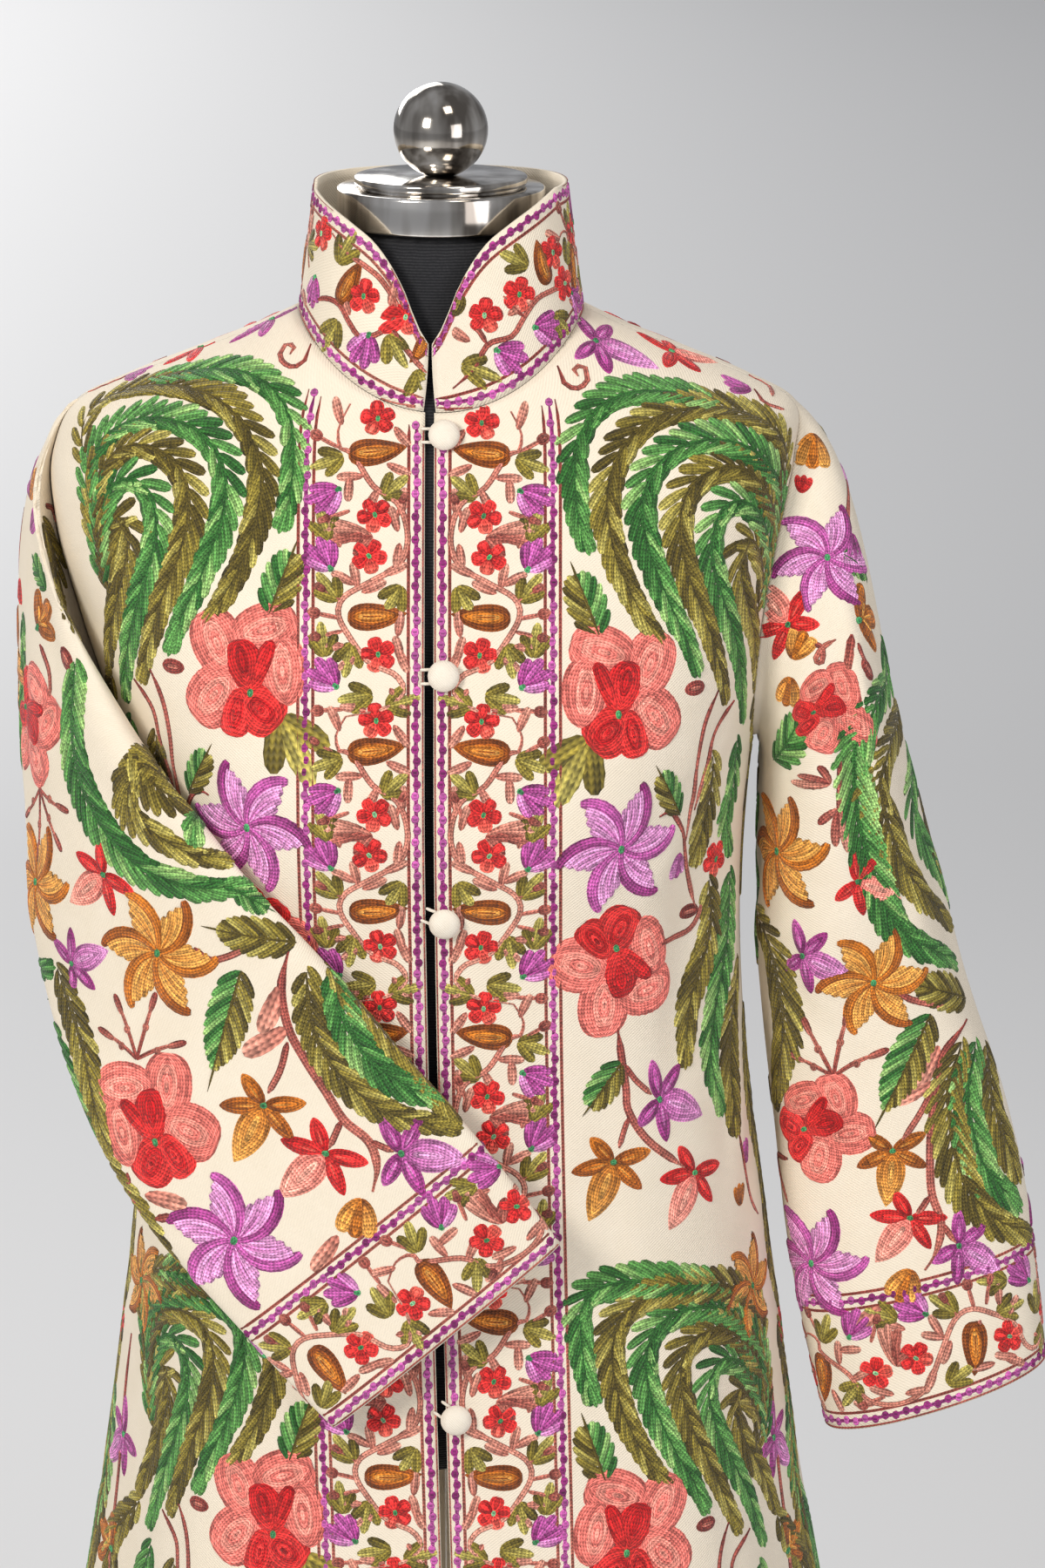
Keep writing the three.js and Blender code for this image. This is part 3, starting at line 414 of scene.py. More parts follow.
def sleeve_rows(side, sections, leaves, creases, folded):
    """The sleeve's outer face as rows from the armhole to the cuff, 24 points round it."""
    centres = np.array([s[:3] for s in sections], float)
    knots = np.concatenate([[0], np.cumsum(np.linalg.norm(np.diff(centres, axis=0), axis=1))])
    at = smooth_table(sections, knots)
    around = np.arange(SLEEVE_AROUND) / SLEEVE_AROUND * 2 * np.pi

    def section_points(place):
        s = Section(*at(place))
        front = unit(np.array([s.fx, s.fy, s.fz]))
        outside = unit(np.array([s.ox, s.oy, s.oz]))
        across = np.sign(np.sin(around)) * np.abs(np.sin(around)) ** s.blunt
        out = np.sign(np.cos(around)) * np.abs(np.cos(around)) ** s.blunt
        return np.array([s.x, s.y, s.z]) + s.wide * across[:, None] * front + s.deep * out[:, None] * outside

    c = np.cos(around)[:, None]
    f = np.sin(around)[:, None]
    upper = np.where(c > 0, [leaves.tip], [leaves.under])
    facing = np.where(f > 0, [leaves.front], [leaves.back])
    leaving = unit(upper * c * c + facing * f * f)
    first = armhole_point(side, around)
    to = section_points(0)
    gap = np.linalg.norm(first - to, axis=1)[:, None]
    arrive = unit(section_points(4) - to)
    rows = []
    for i in range(CAP_ROWS):
        t = i / CAP_ROWS
        p = first * (2 * t**3 - 3 * t**2 + 1) + leaving * (11 + gap * leaves.pull) * (t**3 - 2 * t**2 + t)
        rows.append(p + to * (3 * t**2 - 2 * t**3) + arrive * gap * 0.8 * (t**3 - t**2))
    for i in range(SLEEVE_ROWS + 1):
        rows.append(section_points(knots[-1] * i / SLEEVE_ROWS))
    rows = eased(np.array(rows), CAP_ROWS + 4, 5 if folded else 3)
    last = len(rows) - 1
    for r in range(1, last + 1):
        outward = unit(rows[r] - rows[r].mean(axis=0))
        for k in creases:
            off = (r / last - k.at) / k.long
            if abs(off) >= 1:
                continue
            middle = math.radians(k.around + k.turn * off)
            turn = np.arctan2(np.sin(around - middle), np.cos(around - middle))
            fade = math.cos(math.pi / 2 * off) ** 2
            rows[r] += outward * (k.rise * fade * hill(turn * 55 / k.wide))[:, None]
        deep = float(at(max(0.0, knots[-1] * (r - CAP_ROWS) / SLEEVE_ROWS))[10])
        flat = float(smooth_step((r - CAP_ROWS) / 6)) if folded else 0.0
        rows[r] = clear_of_body(rows[r], 3.2 + flat * min(deep, 16) * 0.7 * (1 + np.cos(around)))
    return rows


def through(values, places):
    """A smooth curve through the values, read at fractional places along the first axis."""
    last = len(values) - 1
    i = np.clip(np.floor(places).astype(int), 0, last - 1)
    t = (places - i).reshape((-1,) + (1,) * (values.ndim - 1))
    p1 = values[i]
    p2 = values[i + 1]
    p0 = np.where((i > 0).reshape(t.shape), values[np.maximum(i - 1, 0)], 2 * p1 - p2)
    p3 = np.where((i < last - 1).reshape(t.shape), values[np.minimum(i + 2, last)], 2 * p2 - p1)
    bend = 2 * p0 - 5 * p1 + 4 * p2 - p3
    return (2 * p1 + (p2 - p0) * t + bend * t**2 + (3 * p1 - p0 - 3 * p2 + p3) * t**3) / 2


# Fine creases of the sleeves, by their place along and round, in the same terms as the large ones
FINE_HANGING = rows_of(Crease, [
    (0.5, 60, 0.1, 7, 30, -1.8),
    (0.56, 130, 0.1, 8, -24, -2.0),
    (0.68, 55, 0.12, 8, -28, -1.6),
    (0.76, 120, 0.1, 8, 26, -1.5),
    (0.44, 175, 0.12, 8, 30, -2.0),
    (0.48, 330, 0.1, 8, -22, -1.8),
    (0.62, 300, 0.12, 8, 24, -1.7),
    (0.2, 20, 0.1, 9, 16, -1.6),
    (0.18, 320, 0.1, 8, -16, -1.6),
])
FINE_FOLDED = rows_of(Crease, [
    (0.3, 20, 0.1, 8, 18, -1.5),
    (0.42, -60, 0.1, 8, -20, -1.7),
    (0.52, 62, 0.1, 8, 24, -1.4),
    (0.68, 10, 0.12, 9, -22, -1.1),
    (0.8, -30, 0.1, 9, 16, -1.0),
    (0.24, 60, 0.1, 8, -14, -1.5),
])


def sleeve_face(side, rows, fine, long_cells, round_cells):
    """A fine grid on the sleeve: columns from the underarm round the back, the outside and the front."""
    order = np.arange(-SLEEVE_AROUND // 2 - 2, SLEEVE_AROUND // 2 + 3) % SLEEVE_AROUND
    wide = rows[:, order]
    finer = through(wide, np.linspace(0, len(rows) - 1, long_cells + 1))
    columns = 2 + np.linspace(0, SLEEVE_AROUND, round_cells + 1)
    grid = np.moveaxis(through(np.moveaxis(finer, 1, 0), columns), 0, 1)
    around = np.linspace(-np.pi, np.pi, round_cells + 1)
    exact = armhole_point(side, around)
    ease = np.clip(1 - np.arange(long_cells + 1) / 5, 0, 1)[:, None, None] ** 2
    grid = grid + (exact - grid[0])[None] * ease
    normals = grid_normals(grid, True)
    place = np.linspace(0, 1, long_cells + 1)[:, None]
    rise = np.zeros(grid.shape[:2])
    for k in fine:
        off = np.clip((place - k.at) / k.long, -1, 1)
        middle = np.radians(k.around + k.turn * off)
        turn = np.arctan2(np.sin(around - middle), np.cos(around - middle))
        rise += k.rise * np.cos(np.pi / 2 * off) ** 2 * hill(turn * 50 / k.wide)
    return grid + normals * rise[..., None] * outward_sign(grid, normals)


def collar_face(rows, columns):
    """The collar's outer face: rows from its top edge down, columns round from its left end."""
    high = np.linspace(1, 0, rows + 1)[:, None]
    gap = COLLAR_GAP + (COLLAR_FOOT_GAP - COLLAR_GAP) * (1 - high) ** 2
    half_width = BODY_RINGS[-1].left
    begin = np.arcsin((OPENING.x + gap) / (half_width * (1 + SQUARENESS)))
    finish = np.arcsin((OPENING.x - gap) / (half_width * (1 + SQUARENESS))) + 2 * np.pi
    angle = begin + (finish - begin) * np.linspace(0, 1, columns + 1)[None, :]
    foot = plain_body(np.full(angle.shape, BODY_TOP), angle)
    c = np.cos(angle)
    s = np.sin(angle)
    edge_at = smooth_table([[e.z] for e in COLLAR_EDGE], [e.round for e in COLLAR_EDGE])
    edge = edge_at(np.minimum(np.abs(foot[..., 0] - OPENING.x) / half_width, 1))[..., 0]
    side_top = COLLAR_EDGE[-1].z
    top = np.where(c > 0, edge, side_top + (COLLAR_BACK_TOP - side_top) * c * c)
    z = foot[..., 2] + SEAM + (top - foot[..., 2] - SEAM) * high
    lean = COLLAR_BACK_LEAN + (COLLAR_SIDE_LEAN - COLLAR_BACK_LEAN) * np.where(c > 0, 1, s * s)
    away = np.hypot(foot[..., 0], foot[..., 1])
    k = (away - lean * ((z - foot[..., 2]) / 70)) / away
    return np.stack([foot[..., 0] * k, foot[..., 1] * k, z], -1)


# Charts: a panel's outer face with a flat map, s across and t down, in millimetres

def grid_normals(grid, wrapped):
    if wrapped:
        ring = np.concatenate([grid[:, -2:-1], grid, grid[:, 1:2]], axis=1)
        across = ring[:, 2:] - ring[:, :-2]
    else:
        across = np.gradient(grid, axis=1)
    return unit(np.cross(across, np.gradient(grid, axis=0)))


def outward_sign(grid, normals):
    """1 where the normals of a grid point away from its middle line, row by row, and -1 otherwise."""
    hub = grid.mean(axis=1, keepdims=True)
    return 1 if np.mean(np.sum(normals * (grid - hub), axis=-1)) > 0 else -1


def sample(grid, row, column):
    """A grid's value at fractional rows and columns."""
    r = np.clip(row, 0, grid.shape[0] - 1.000001)
    c = np.clip(column, 0, grid.shape[1] - 1.000001)
    i = r.astype(int)
    j = c.astype(int)
    extra = (1,) * (grid.ndim - 2)
    f = (r - i).reshape(r.shape + extra)
    g = (c - j).reshape(c.shape + extra)
    upper = grid[i, j] * (1 - g) + grid[i, j + 1] * g
    lower = grid[i + 1, j] * (1 - g) + grid[i + 1, j + 1] * g
    return upper * (1 - f) + lower * f


class Chart:
    """A panel's outer face. s is measured along each row from the middle column, t down that column."""

    STEP = 1.0
    STRETCH = 0.7  # the most that s changes for a pixel along a path

    def __init__(self, grid, out, middle=0, wrapped=False, hand=1):
        self.grid = grid
        self.wrapped = wrapped
        self.hand = hand
        self.normals = grid_normals(grid, wrapped) * out
        self.out = out
        along = np.linalg.norm(np.diff(grid, axis=1), axis=2)
        s = np.concatenate([np.zeros((len(grid), 1)), np.cumsum(along, axis=1)], axis=1)
        self.s = s - s[:, middle:middle + 1]
        down = np.linalg.norm(np.diff(grid[:, middle], axis=0), axis=1)
        self.t = np.concatenate([[0], np.cumsum(down)])
        self.length = self.t[-1]
        self.marks = np.arange(self.s.min(), self.s.max() + self.STEP, self.STEP)
        count = np.arange(grid.shape[1])
        self.column_of = np.stack([np.interp(self.marks, row, count) for row in self.s])

    def cell(self, s, t):
        if self.wrapped:
            low, high = self.limits(t)
            s = low + np.mod(s - low, high - low)
        row = np.interp(t, self.t, np.arange(len(self.t)))
        column = sample(self.column_of, row, (s - self.marks[0]) / self.STEP)
        return row, column

    def limits(self, t):
        """The lowest and highest s of the panel at t."""
        return np.interp(t, self.t, self.s[:, 0]), np.interp(t, self.t, self.s[:, -1])

    def point(self, s, t):
        return sample(self.grid, *self.cell(s, t))

    def normal(self, s, t):
        return unit(sample(self.normals, *self.cell(s, t)))

    def behind(self, spots):
        """The spots half a turn round a tube from these."""
        low, high = self.limits(spots[:, 1])
        return spots + np.stack([(high - low) / 2, np.zeros_like(low)], -1)

    def frames(self, s, t, own=False):
        """Unit vectors across and up the panel, and what a step along each changes in s and t.
        Up is the world's, or with own the panel's."""
        t = np.clip(t, 3, self.length - 3)
        if not self.wrapped:
            low, high = self.limits(t)
            s = np.clip(s, low + 3, high - 3)
        by_s = (self.point(s + 2, t) - self.point(s - 2, t)) / 4
        by_t = (self.point(s, t + 2) - self.point(s, t - 2)) / 4
        n = self.normal(s, t)
        up = -by_t if own else np.broadcast_to([0.0, 0.0, 1.0], n.shape)
        up = unit(up - n * np.sum(n * up, -1, keepdims=True))
        across = unit(np.cross(up, n)) * self.hand
        metric = np.stack([
            np.stack([np.sum(by_s * across, -1), np.sum(by_t * across, -1)], -1),
            np.stack([np.sum(by_s * up, -1), np.sum(by_t * up, -1)], -1),
        ], -2)
        return across, up, np.linalg.inv(metric)

    def at_pixel(self, spots):
        """The s and t that show at pixels of the photograph, one row of the answer for each."""
        spots = np.atleast_2d(np.asarray(spots, float))
        seen = photo_pixel(self.grid)
        eye = np.array(CAMERA_PLACE) / MM
        facing = np.sum(self.normals * (eye - self.grid), -1) > 0
        away = np.where(facing, 0, 1e6)
        found = []
        for spot in spots:
            miss = np.linalg.norm(seen - spot, axis=-1) + away
            row, column = (float(v) for v in np.unravel_index(np.argmin(miss), miss.shape))
            for _ in range(3):
                r = np.array([row, row + 0.4, row])
                c = np.array([column, column, column + 0.4])
                here, below, beside = sample(seen, r, c)
                step = np.stack([(below - here) / 0.4, (beside - here) / 0.4], 1)
                if abs(np.linalg.det(step)) < 1e-6:
                    break
                move = np.clip(np.linalg.solve(step, spot - here), -1, 1)
                row = float(np.clip(row + move[0], 0, self.grid.shape[0] - 1.5))
                column = float(np.clip(column + move[1], 0, self.grid.shape[1] - 1.5))
            s = sample(self.s, np.array([row]), np.array([column]))[0]
            t = np.interp(row, np.arange(len(self.t)), self.t)
            if self.wrapped and found:
                low, high = self.limits(t)
                s += (high - low) * round((found[-1][0] - s) / (high - low))
            if found:
                reach = self.STRETCH * np.linalg.norm(spot - last)
                s = float(np.clip(s, found[-1][0] - reach, found[-1][0] + reach))
            last = spot
            found.append((s, t))
        return np.array(found)


def shell_mesh(name, chart, inset=CLOTH):
    """A thin closed shell of cloth on a chart's outer face, with the chart's s and t as its UV map."""
    grid = chart.grid[:, :-1] if chart.wrapped else chart.grid
    normals = chart.normals[:, :-1] if chart.wrapped else chart.normals
    rows, columns = grid.shape[:2]
    points = np.concatenate([grid.reshape(-1, 3), (grid - normals * inset).reshape(-1, 3)]) * MM
    index = np.arange(rows * columns).reshape(rows, columns)
    if chart.wrapped:
        index = np.concatenate([index, index[:, :1]], axis=1)
    under = index + rows * columns
    a, b, c, d = index[:-1, :-1], index[:-1, 1:], index[1:, 1:], index[1:, :-1]
    e, f, g, h = under[:-1, :-1], under[:-1, 1:], under[1:, 1:], under[1:, :-1]
    quads = [np.stack([a, b, c, d], -1).reshape(-1, 4), np.stack([e, h, g, f], -1).reshape(-1, 4)]
    quads.append(np.stack([index[0, :-1], under[0, :-1], under[0, 1:], index[0, 1:]], -1))
    quads.append(np.stack([index[-1, :-1], index[-1, 1:], under[-1, 1:], under[-1, :-1]], -1))
    if not chart.wrapped:
        quads.append(np.stack([index[:-1, 0], index[1:, 0], under[1:, 0], under[:-1, 0]], -1))
        quads.append(np.stack([index[:-1, -1], under[:-1, -1], under[1:, -1], index[1:, -1]], -1))
    faces = np.concatenate(quads)
    if chart.out < 0:
        faces = faces[:, ::-1]
    s = chart.s[:, :-1] if chart.wrapped else chart.s
    t = np.repeat(chart.t[:, None], columns, axis=1)
    stitch = np.tile(np.stack([s.reshape(-1), t.reshape(-1)], -1), (2, 1))
    return make_mesh(name, points, faces, stitch)


def make_mesh(name, points, faces, map_points, colours=None):
    """A mesh object from arrays of quads, with a UV map in millimetres and a colour for each point."""
    mesh = bpy.data.meshes.new(name)
    mesh.vertices.add(len(points))
    mesh.vertices.foreach_set("co", points.astype(np.float32).reshape(-1))
    mesh.loops.add(faces.size)
    mesh.loops.foreach_set("vertex_index", faces.astype(np.int32).reshape(-1))
    mesh.polygons.add(len(faces))
    mesh.polygons.foreach_set("loop_start", np.arange(0, faces.size, 4, dtype=np.int32))
    mesh.update(calc_edges=True)
    uv = mesh.uv_layers.new(name="stitch")
    uv.data.foreach_set("uv", map_points[faces.reshape(-1)].astype(np.float32).reshape(-1))
    if colours is not None:
        layer = mesh.color_attributes.new("thread", "FLOAT_COLOR", "POINT")
        alpha = np.ones((len(points), 1))
        layer.data.foreach_set("color", np.concatenate([colours, alpha], 1).astype(np.float32).reshape(-1))
    mesh.shade_smooth()
    mesh.validate()
    piece = bpy.data.objects.new(name, mesh)
    bpy.context.scene.collection.objects.link(piece)
    return piece


# Thread colours, as seen in the photograph

def linear(*rgb):
    c = np.array(rgb, float)
    return np.where(c <= 0.04045, c / 12.92, ((c + 0.055) / 1.055) ** 2.4)


Dye = namedtuple("Dye", "dark middle light")
GREEN = Dye(linear(0.17, 0.39, 0.15), linear(0.35, 0.58, 0.28), linear(0.63, 0.78, 0.46))
OLIVE = Dye(linear(0.34, 0.29, 0.08), linear(0.53, 0.47, 0.17), linear(0.73, 0.68, 0.35))
PURPLE = Dye(linear(0.56, 0.15, 0.44), linear(0.75, 0.35, 0.64), linear(0.90, 0.61, 0.82))
RED = Dye(linear(0.74, 0.07, 0.09), linear(0.90, 0.19, 0.18), linear(0.95, 0.42, 0.35))
SALMON = Dye(linear(0.92, 0.36, 0.32), linear(0.97, 0.50, 0.45), linear(1.0, 0.68, 0.60))
OCHRE = Dye(linear(0.55, 0.27, 0.05), linear(0.77, 0.44, 0.11), linear(0.90, 0.64, 0.30))
MAUVE = Dye(linear(0.55, 0.23, 0.20), linear(0.71, 0.41, 0.35), linear(0.84, 0.58, 0.50))
MINT = linear(0.26, 0.58, 0.36)
MINT_LIGHT = linear(0.52, 0.76, 0.56)


# Stitching: low relief of thread, laid on a chart and joined into one mesh for a panel

def blade(long, wide, root=0.5, tip=0.5, curl=0.0, rows=8, across=4, follow=False):
    """A leaflet or petal from the origin along +y, in millimetres. curl is its turn in degrees.
    The stitch rows run along it, or follow its outline."""
    u = (1 - np.cos(np.linspace(0.09, 0.91, rows) * np.pi)) / 2
    u = (u - u[0]) / (u[-1] - u[0]) * 0.98 + 0.01
    v = np.linspace(-1, 1, across + 1)
    peak = (root / (root + tip)) ** root * (tip / (root + tip)) ** tip
    half = wide / 2 * u**root * (1 - u) ** tip / peak
    bend = math.radians(curl)
    if abs(bend) > 1e-3:
        spine_x = long / bend * (1 - np.cos(bend * u))
        spine_y = long / bend * np.sin(bend * u)
    else:
        spine_x = np.zeros_like(u)
        spine_y = long * u
    x = spine_x[:, None] + half[:, None] * v * np.cos(bend * u)[:, None]
    y = spine_y[:, None] - half[:, None] * v * np.sin(bend * u)[:, None]
    shoulder = np.clip(half / (0.3 * wide), 0.25, 1)[:, None]
    rise = (1 - np.abs(v) ** 3) * shoulder
    along = np.repeat((long * u)[:, None], across + 1, axis=1)
    over = half[:, None] * (1 - np.abs(v)) if follow else half[:, None] * v
    edge = np.broadcast_to(np.abs(v) ** 3, rise.shape)
    reach = np.broadcast_to(u[:, None], rise.shape)
    return Patch(x, y, rise, along, over, edge, reach)


Patch = namedtuple("Patch", "x y rise along over edge reach")


def quads_of(rows, columns):
    index = np.arange(rows * columns).reshape(rows, columns)
    a, b, c, d = index[:-1, :-1], index[1:, :-1], index[1:, 1:], index[:-1, 1:]
    return np.stack([a, b, c, d], -1).reshape(-1, 4)


class Stitching:
    """Collects the thread of one panel."""

    SINK = 0.15  # how far a patch's border dips into the cloth

    def __init__(self, chart):
        self.chart = chart
        self.s, self.t, self.high, self.map, self.colour, self.faces = [], [], [], [], [], []
        self.count = 0

    def lay(self, s, t, patch, high, dyes):
        """Adds a patch whose points are at s and t. dyes are its colours at root and tip."""
        # Painted shade: each patch's colour is darkened towards its border, standing in for the shade in the
        # grooves between patches.
        shade = 1 - 0.34 * patch.edge
        root, tip = dyes
        blend = patch.reach[..., None]
        colour = (root * (1 - blend) + tip * blend) * shade[..., None] * random.uniform(0.93, 1.07)
        faces = quads_of(*s.shape)
        self.s.append(s.reshape(-1))
        self.t.append(t.reshape(-1))
        self.high.append((patch.rise * (high + self.SINK) - self.SINK).reshape(-1))
        offset = random.uniform(0, 40)
        self.map.append(np.stack([patch.along.reshape(-1) + offset, patch.over.reshape(-1)], -1))
        self.colour.append(colour.reshape(-1, 3))
        self.faces.append(faces + self.count)
        self.count += s.size

    def mesh(self, name):
        s = np.concatenate(self.s)
        t = np.concatenate(self.t)
        low, high = self.chart.limits(t)
        off = (t < -0.2) | (t > self.chart.length + 0.2)
        if not self.chart.wrapped:
            off |= (s < low - 0.2) | (s > high + 0.2)
        faces = np.concatenate(self.faces)
        faces = faces[~np.any(off[faces], axis=1)]
        points = self.chart.point(s, t) + self.chart.normal(s, t) * np.concatenate(self.high)[:, None]
        used, faces = np.unique(faces, return_inverse=True)
        faces = faces.reshape(-1, 4)
        if self.chart.hand > 0:
            faces = faces[:, ::-1]
        stitch = np.concatenate(self.map)[used]
        return make_mesh(name, points[used] * MM, faces, stitch, np.concatenate(self.colour)[used])


class Pen:
    """Draws one motif at s and t. Local +y is the world's up, or the panel's with own, turned
    clockwise by turn degrees. flip -1 mirrors the motif about the line where s is 0."""

    def __init__(self, work, s, t, turn=0.0, size=1.0, flip=1, own=False):
        self.work = work
        self.s = s * flip
        self.t = t
        self.size = size
        self.flip = flip
        self.turn = math.radians(turn)
        self.step = work.chart.frames(np.array([self.s]), np.array([self.t]), own)[2][0]

    def put(self, patch, x=0.0, y=0.0, turn=0.0, high=0.8, dyes=None):
        a = math.radians(turn)
        px = x + patch.x * math.cos(a) + patch.y * math.sin(a)
        py = y - patch.x * math.sin(a) + patch.y * math.cos(a)
        b = self.turn
        qx = (px * math.cos(b) + py * math.sin(b)) * self.size * self.flip
        qy = (-px * math.sin(b) + py * math.cos(b)) * self.size
        s = self.s + self.step[0, 0] * qx + self.step[0, 1] * qy
        t = self.t + self.step[1, 0] * qx + self.step[1, 1] * qy
        if self.flip < 0:
            s, t = s[:, ::-1], t[:, ::-1]
            patch = Patch(*(p[:, ::-1] for p in patch))
        self.work.lay(s, t, patch, high, dyes)

    def dot(self, x, y, wide, dye, high=1.1):
        self.put(blade(wide, wide, rows=6, across=4, follow=True), x, y - wide / 2, 0, high, (dye, dye))


def toward(turn, far):
    """The spot that is far along a way, turned clockwise from up by turn degrees."""
    way = math.radians(turn)
    return far * math.sin(way), far * math.cos(way)


def red_flower(pen, dye=RED):
    for i in range(5):
        pair = [(dye.middle, dye.middle), (dye.dark, dye.middle), (dye.middle, dye.light)][i % 3]
        pen.put(blade(10, 9.2, 0.5, 0.3, rows=7, follow=True), 0, 0, 72 * i + 8, 0.8, pair)
    pen.dot(0, 0, 4, random.choice([MINT, MINT, MINT_LIGHT]))


def tulip(pen, dye=PURPLE):
    strokes = [(-44, 16.5, dye.dark), (44, 15.5, dye.light), (-16, 19.5, dye.middle), (16, 18.5, dye.dark)]
    for turn, long, colour in strokes:
        pen.put(blade(long, 8, 0.45, 0.34, curl=-turn * 0.5, rows=8), 0, 0, turn, 0.85, (colour, dye.middle))
    pen.dot(0, 0.5, 4.4, MINT)


def drop(pen, dye=OCHRE):
    pen.put(blade(33, 16.5, 0.4, 0.8, curl=12, rows=12, across=8, follow=True), 0, -15, 0, 0.9,
            (dye.dark, dye.dark))
    pen.put(blade(27, 12, 0.45, 0.7, curl=10, rows=10, across=6, follow=True), 0.2, -12.5, 0, 1.1,
            (dye.middle, dye.middle))
    pen.put(blade(21, 6.5, 0.5, 0.6, curl=8, rows=8, follow=True), 0.3, -10.5, 0, 1.25,
            (dye.light, dye.middle))
    pen.put(blade(15, 2.4, 0.5, 0.6, curl=8, rows=7), 0.4, -8, 0, 1.4, (dye.dark, dye.middle))


def sprig(pen, dye=OLIVE):
    for turn, long, colour in [(-38, 14.5, dye.dark), (36, 15, dye.middle), (0, 19.5, dye.light)]:
        pen.put(blade(long, 7.2, 0.4, 0.35, curl=-turn * 0.3, rows=6), 0, 0, turn, 0.7, (dye.middle, colour))


def twin_leaf(pen, dye=MAUVE):
    pen.put(blade(26, 7.2, 0.5, 0.36, curl=14, rows=8), 0, 0, -16, 0.7, (dye.middle, dye.light))
    pen.put(blade(22, 6.4, 0.5, 0.36, curl=-14, rows=8), 0, 0, 14, 0.75, (dye.dark, dye.middle))
    pen.put(blade(15, 6, 0.5, 0.36, curl=-20, rows=7), 0, 0, 62, 0.65, (dye.middle, dye.dark))


def small_leaf(pen, dye=MAUVE):
    pen.put(blade(15, 6.2, 0.45, 0.32, curl=10, rows=7), 0, 0, 0, 0.65, (dye.middle, dye.light))


def bud(pen, dye=MAUVE):
    pen.put(blade(13, 3.2, 0.15, 0.15, rows=5, across=3), 0, -12, 0, 0.55, (dye.middle, dye.middle))
    pen.put(blade(8, 7.4, rows=6, follow=True), 0, -1, 0, 0.9, (dye.dark, dye.middle))


def seed_bud(pen, dye=MAUVE):
    pen.put(blade(15, 9.5, 0.5, 0.42, rows=8, follow=True), 0, -7.5, 0, 0.8, (dye.dark, dye.dark))
    pen.put(blade(9, 4, 0.5, 0.5, rows=6), 0, -4.5, 0, 1.0, (dye.middle, dye.middle))


def lobe(pen, x, y, turn, long, wide, dyes, high=0.9):
    """A rounded petal stitched round and round, its middle at x and y."""
    for share, dye in zip((1.0, 0.72, 0.46, 0.22), dyes):
        root_x, root_y = toward(turn, long * share / 2)
        cells = (12, 10) if share > 0.5 else (7, 6)
        shape = blade(long * share, wide * share, 0.42, 0.36, rows=cells[0], across=cells[1], follow=True)
        pen.put(shape, x - root_x, y - root_y, turn, high, (dye, dye))
        high += 0.14


def big_flower(pen, dye=SALMON, heart=RED):
    """Four broad pale lobes and three red petals round an eye below the flower's middle."""
    soft = (dye.middle + dye.light) / 2
    pale = (dye.middle, soft, dye.middle, soft)
    for x, y, turn, long, wide in [(17.5, -15, 140, 37, 34), (17, 12, 28, 38, 32), (-8, 21, -70, 38, 31),
                                   (-20, 0, 10, 38, 28)]:
        lobe(pen, x, y, turn, long, wide, pale)
    eye_x, eye_y, broad_turn = -3, -12, 18
    for turn, long, wide in [(-20, 30, 13), (broad_turn, 29, 26)]:
        shape = blade(long, wide, 0.55, 0.34, rows=10, across=8, follow=True)
        pen.put(shape, eye_x, eye_y, turn, 1.4, (heart.middle, heart.dark))
    x, y = toward(broad_turn, 8)
    shape = blade(17, 13, 0.5, 0.4, rows=8, across=6, follow=True)
    pen.put(shape, eye_x + x, eye_y + y, broad_turn, 1.6, (heart.dark, heart.dark))
    red = (heart.middle, heart.dark, heart.middle, heart.dark)
    for x, y, turn, long, wide in [(-10, -21, 235, 27, 29), (4, -23, 170, 27, 22)]:
        lobe(pen, x, y, turn, long, wide, red, 1.2)
    pen.dot(-3.4, -12.5, 5, MINT, 2.0)


def pinwheel(pen, dye=PURPLE, petals=6):
    """Petals that curl one way, each with a dark outer rim and paler, shorter fingers inside it."""
    for i in range(petals):
        turn = 360 / petals * i + 10
        for k, (back, long, curl) in enumerate([(-47, 24, -26), (-32, 30, -48), (-15, 36, -74)]):
            tint = (dye.middle, dye.light) if k % 2 else (dye.light, dye.light)
            shape = blade(long, 11, 0.62, 0.16, curl=curl, rows=9, across=4)
            pen.put(shape, 0, 0, turn + back, 0.75 + 0.08 * k, tint)
        pen.put(blade(44, 8.6, 0.42, 0.3, curl=-106, rows=12, across=4), 0, 0, turn, 1.1,
                (dye.middle, dye.dark if i % 2 else dye.middle))
    pen.dot(0, 0, 5.2, MINT, 1.6)


def star(pen, dye=PURPLE, big_turn=112):
    """Five pointed petals, the one at big_turn longer, broader and lighter."""
    petals = [(-66, 25, 10), (-121, 24.5, 10.5), (60, 26, 10.5), (117, 21, 10.5)]
    for i, (turn, long, wide) in enumerate(petals):
        turn += big_turn
        tint = (dye.dark, dye.middle) if i % 2 else (dye.middle, dye.dark)
        pen.put(blade(long, wide, 0.55, 0.62, rows=9, across=6, follow=True), 0, 0, turn, 0.9, tint)
        rib = blade(long * 0.55, 3, 0.5, 0.6, rows=6, across=3)
        pen.put(rib, *toward(turn, 4), turn, 1.1, (dye.light, dye.middle))
    pale = SALMON if dye is RED else dye
    big = blade(37, 20, 0.55, 0.85, curl=8, rows=13, across=8, follow=True)
    pen.put(big, 0, 0, big_turn, 0.9, (pale.middle, pale.light))
    inner = blade(22, 8, 0.5, 0.7, curl=6, rows=8, follow=True)
    pen.put(inner, *toward(big_turn, 5), big_turn, 1.1, (pale.light, pale.light))
    pen.dot(0, 0, 4.6, MINT, 1.5)


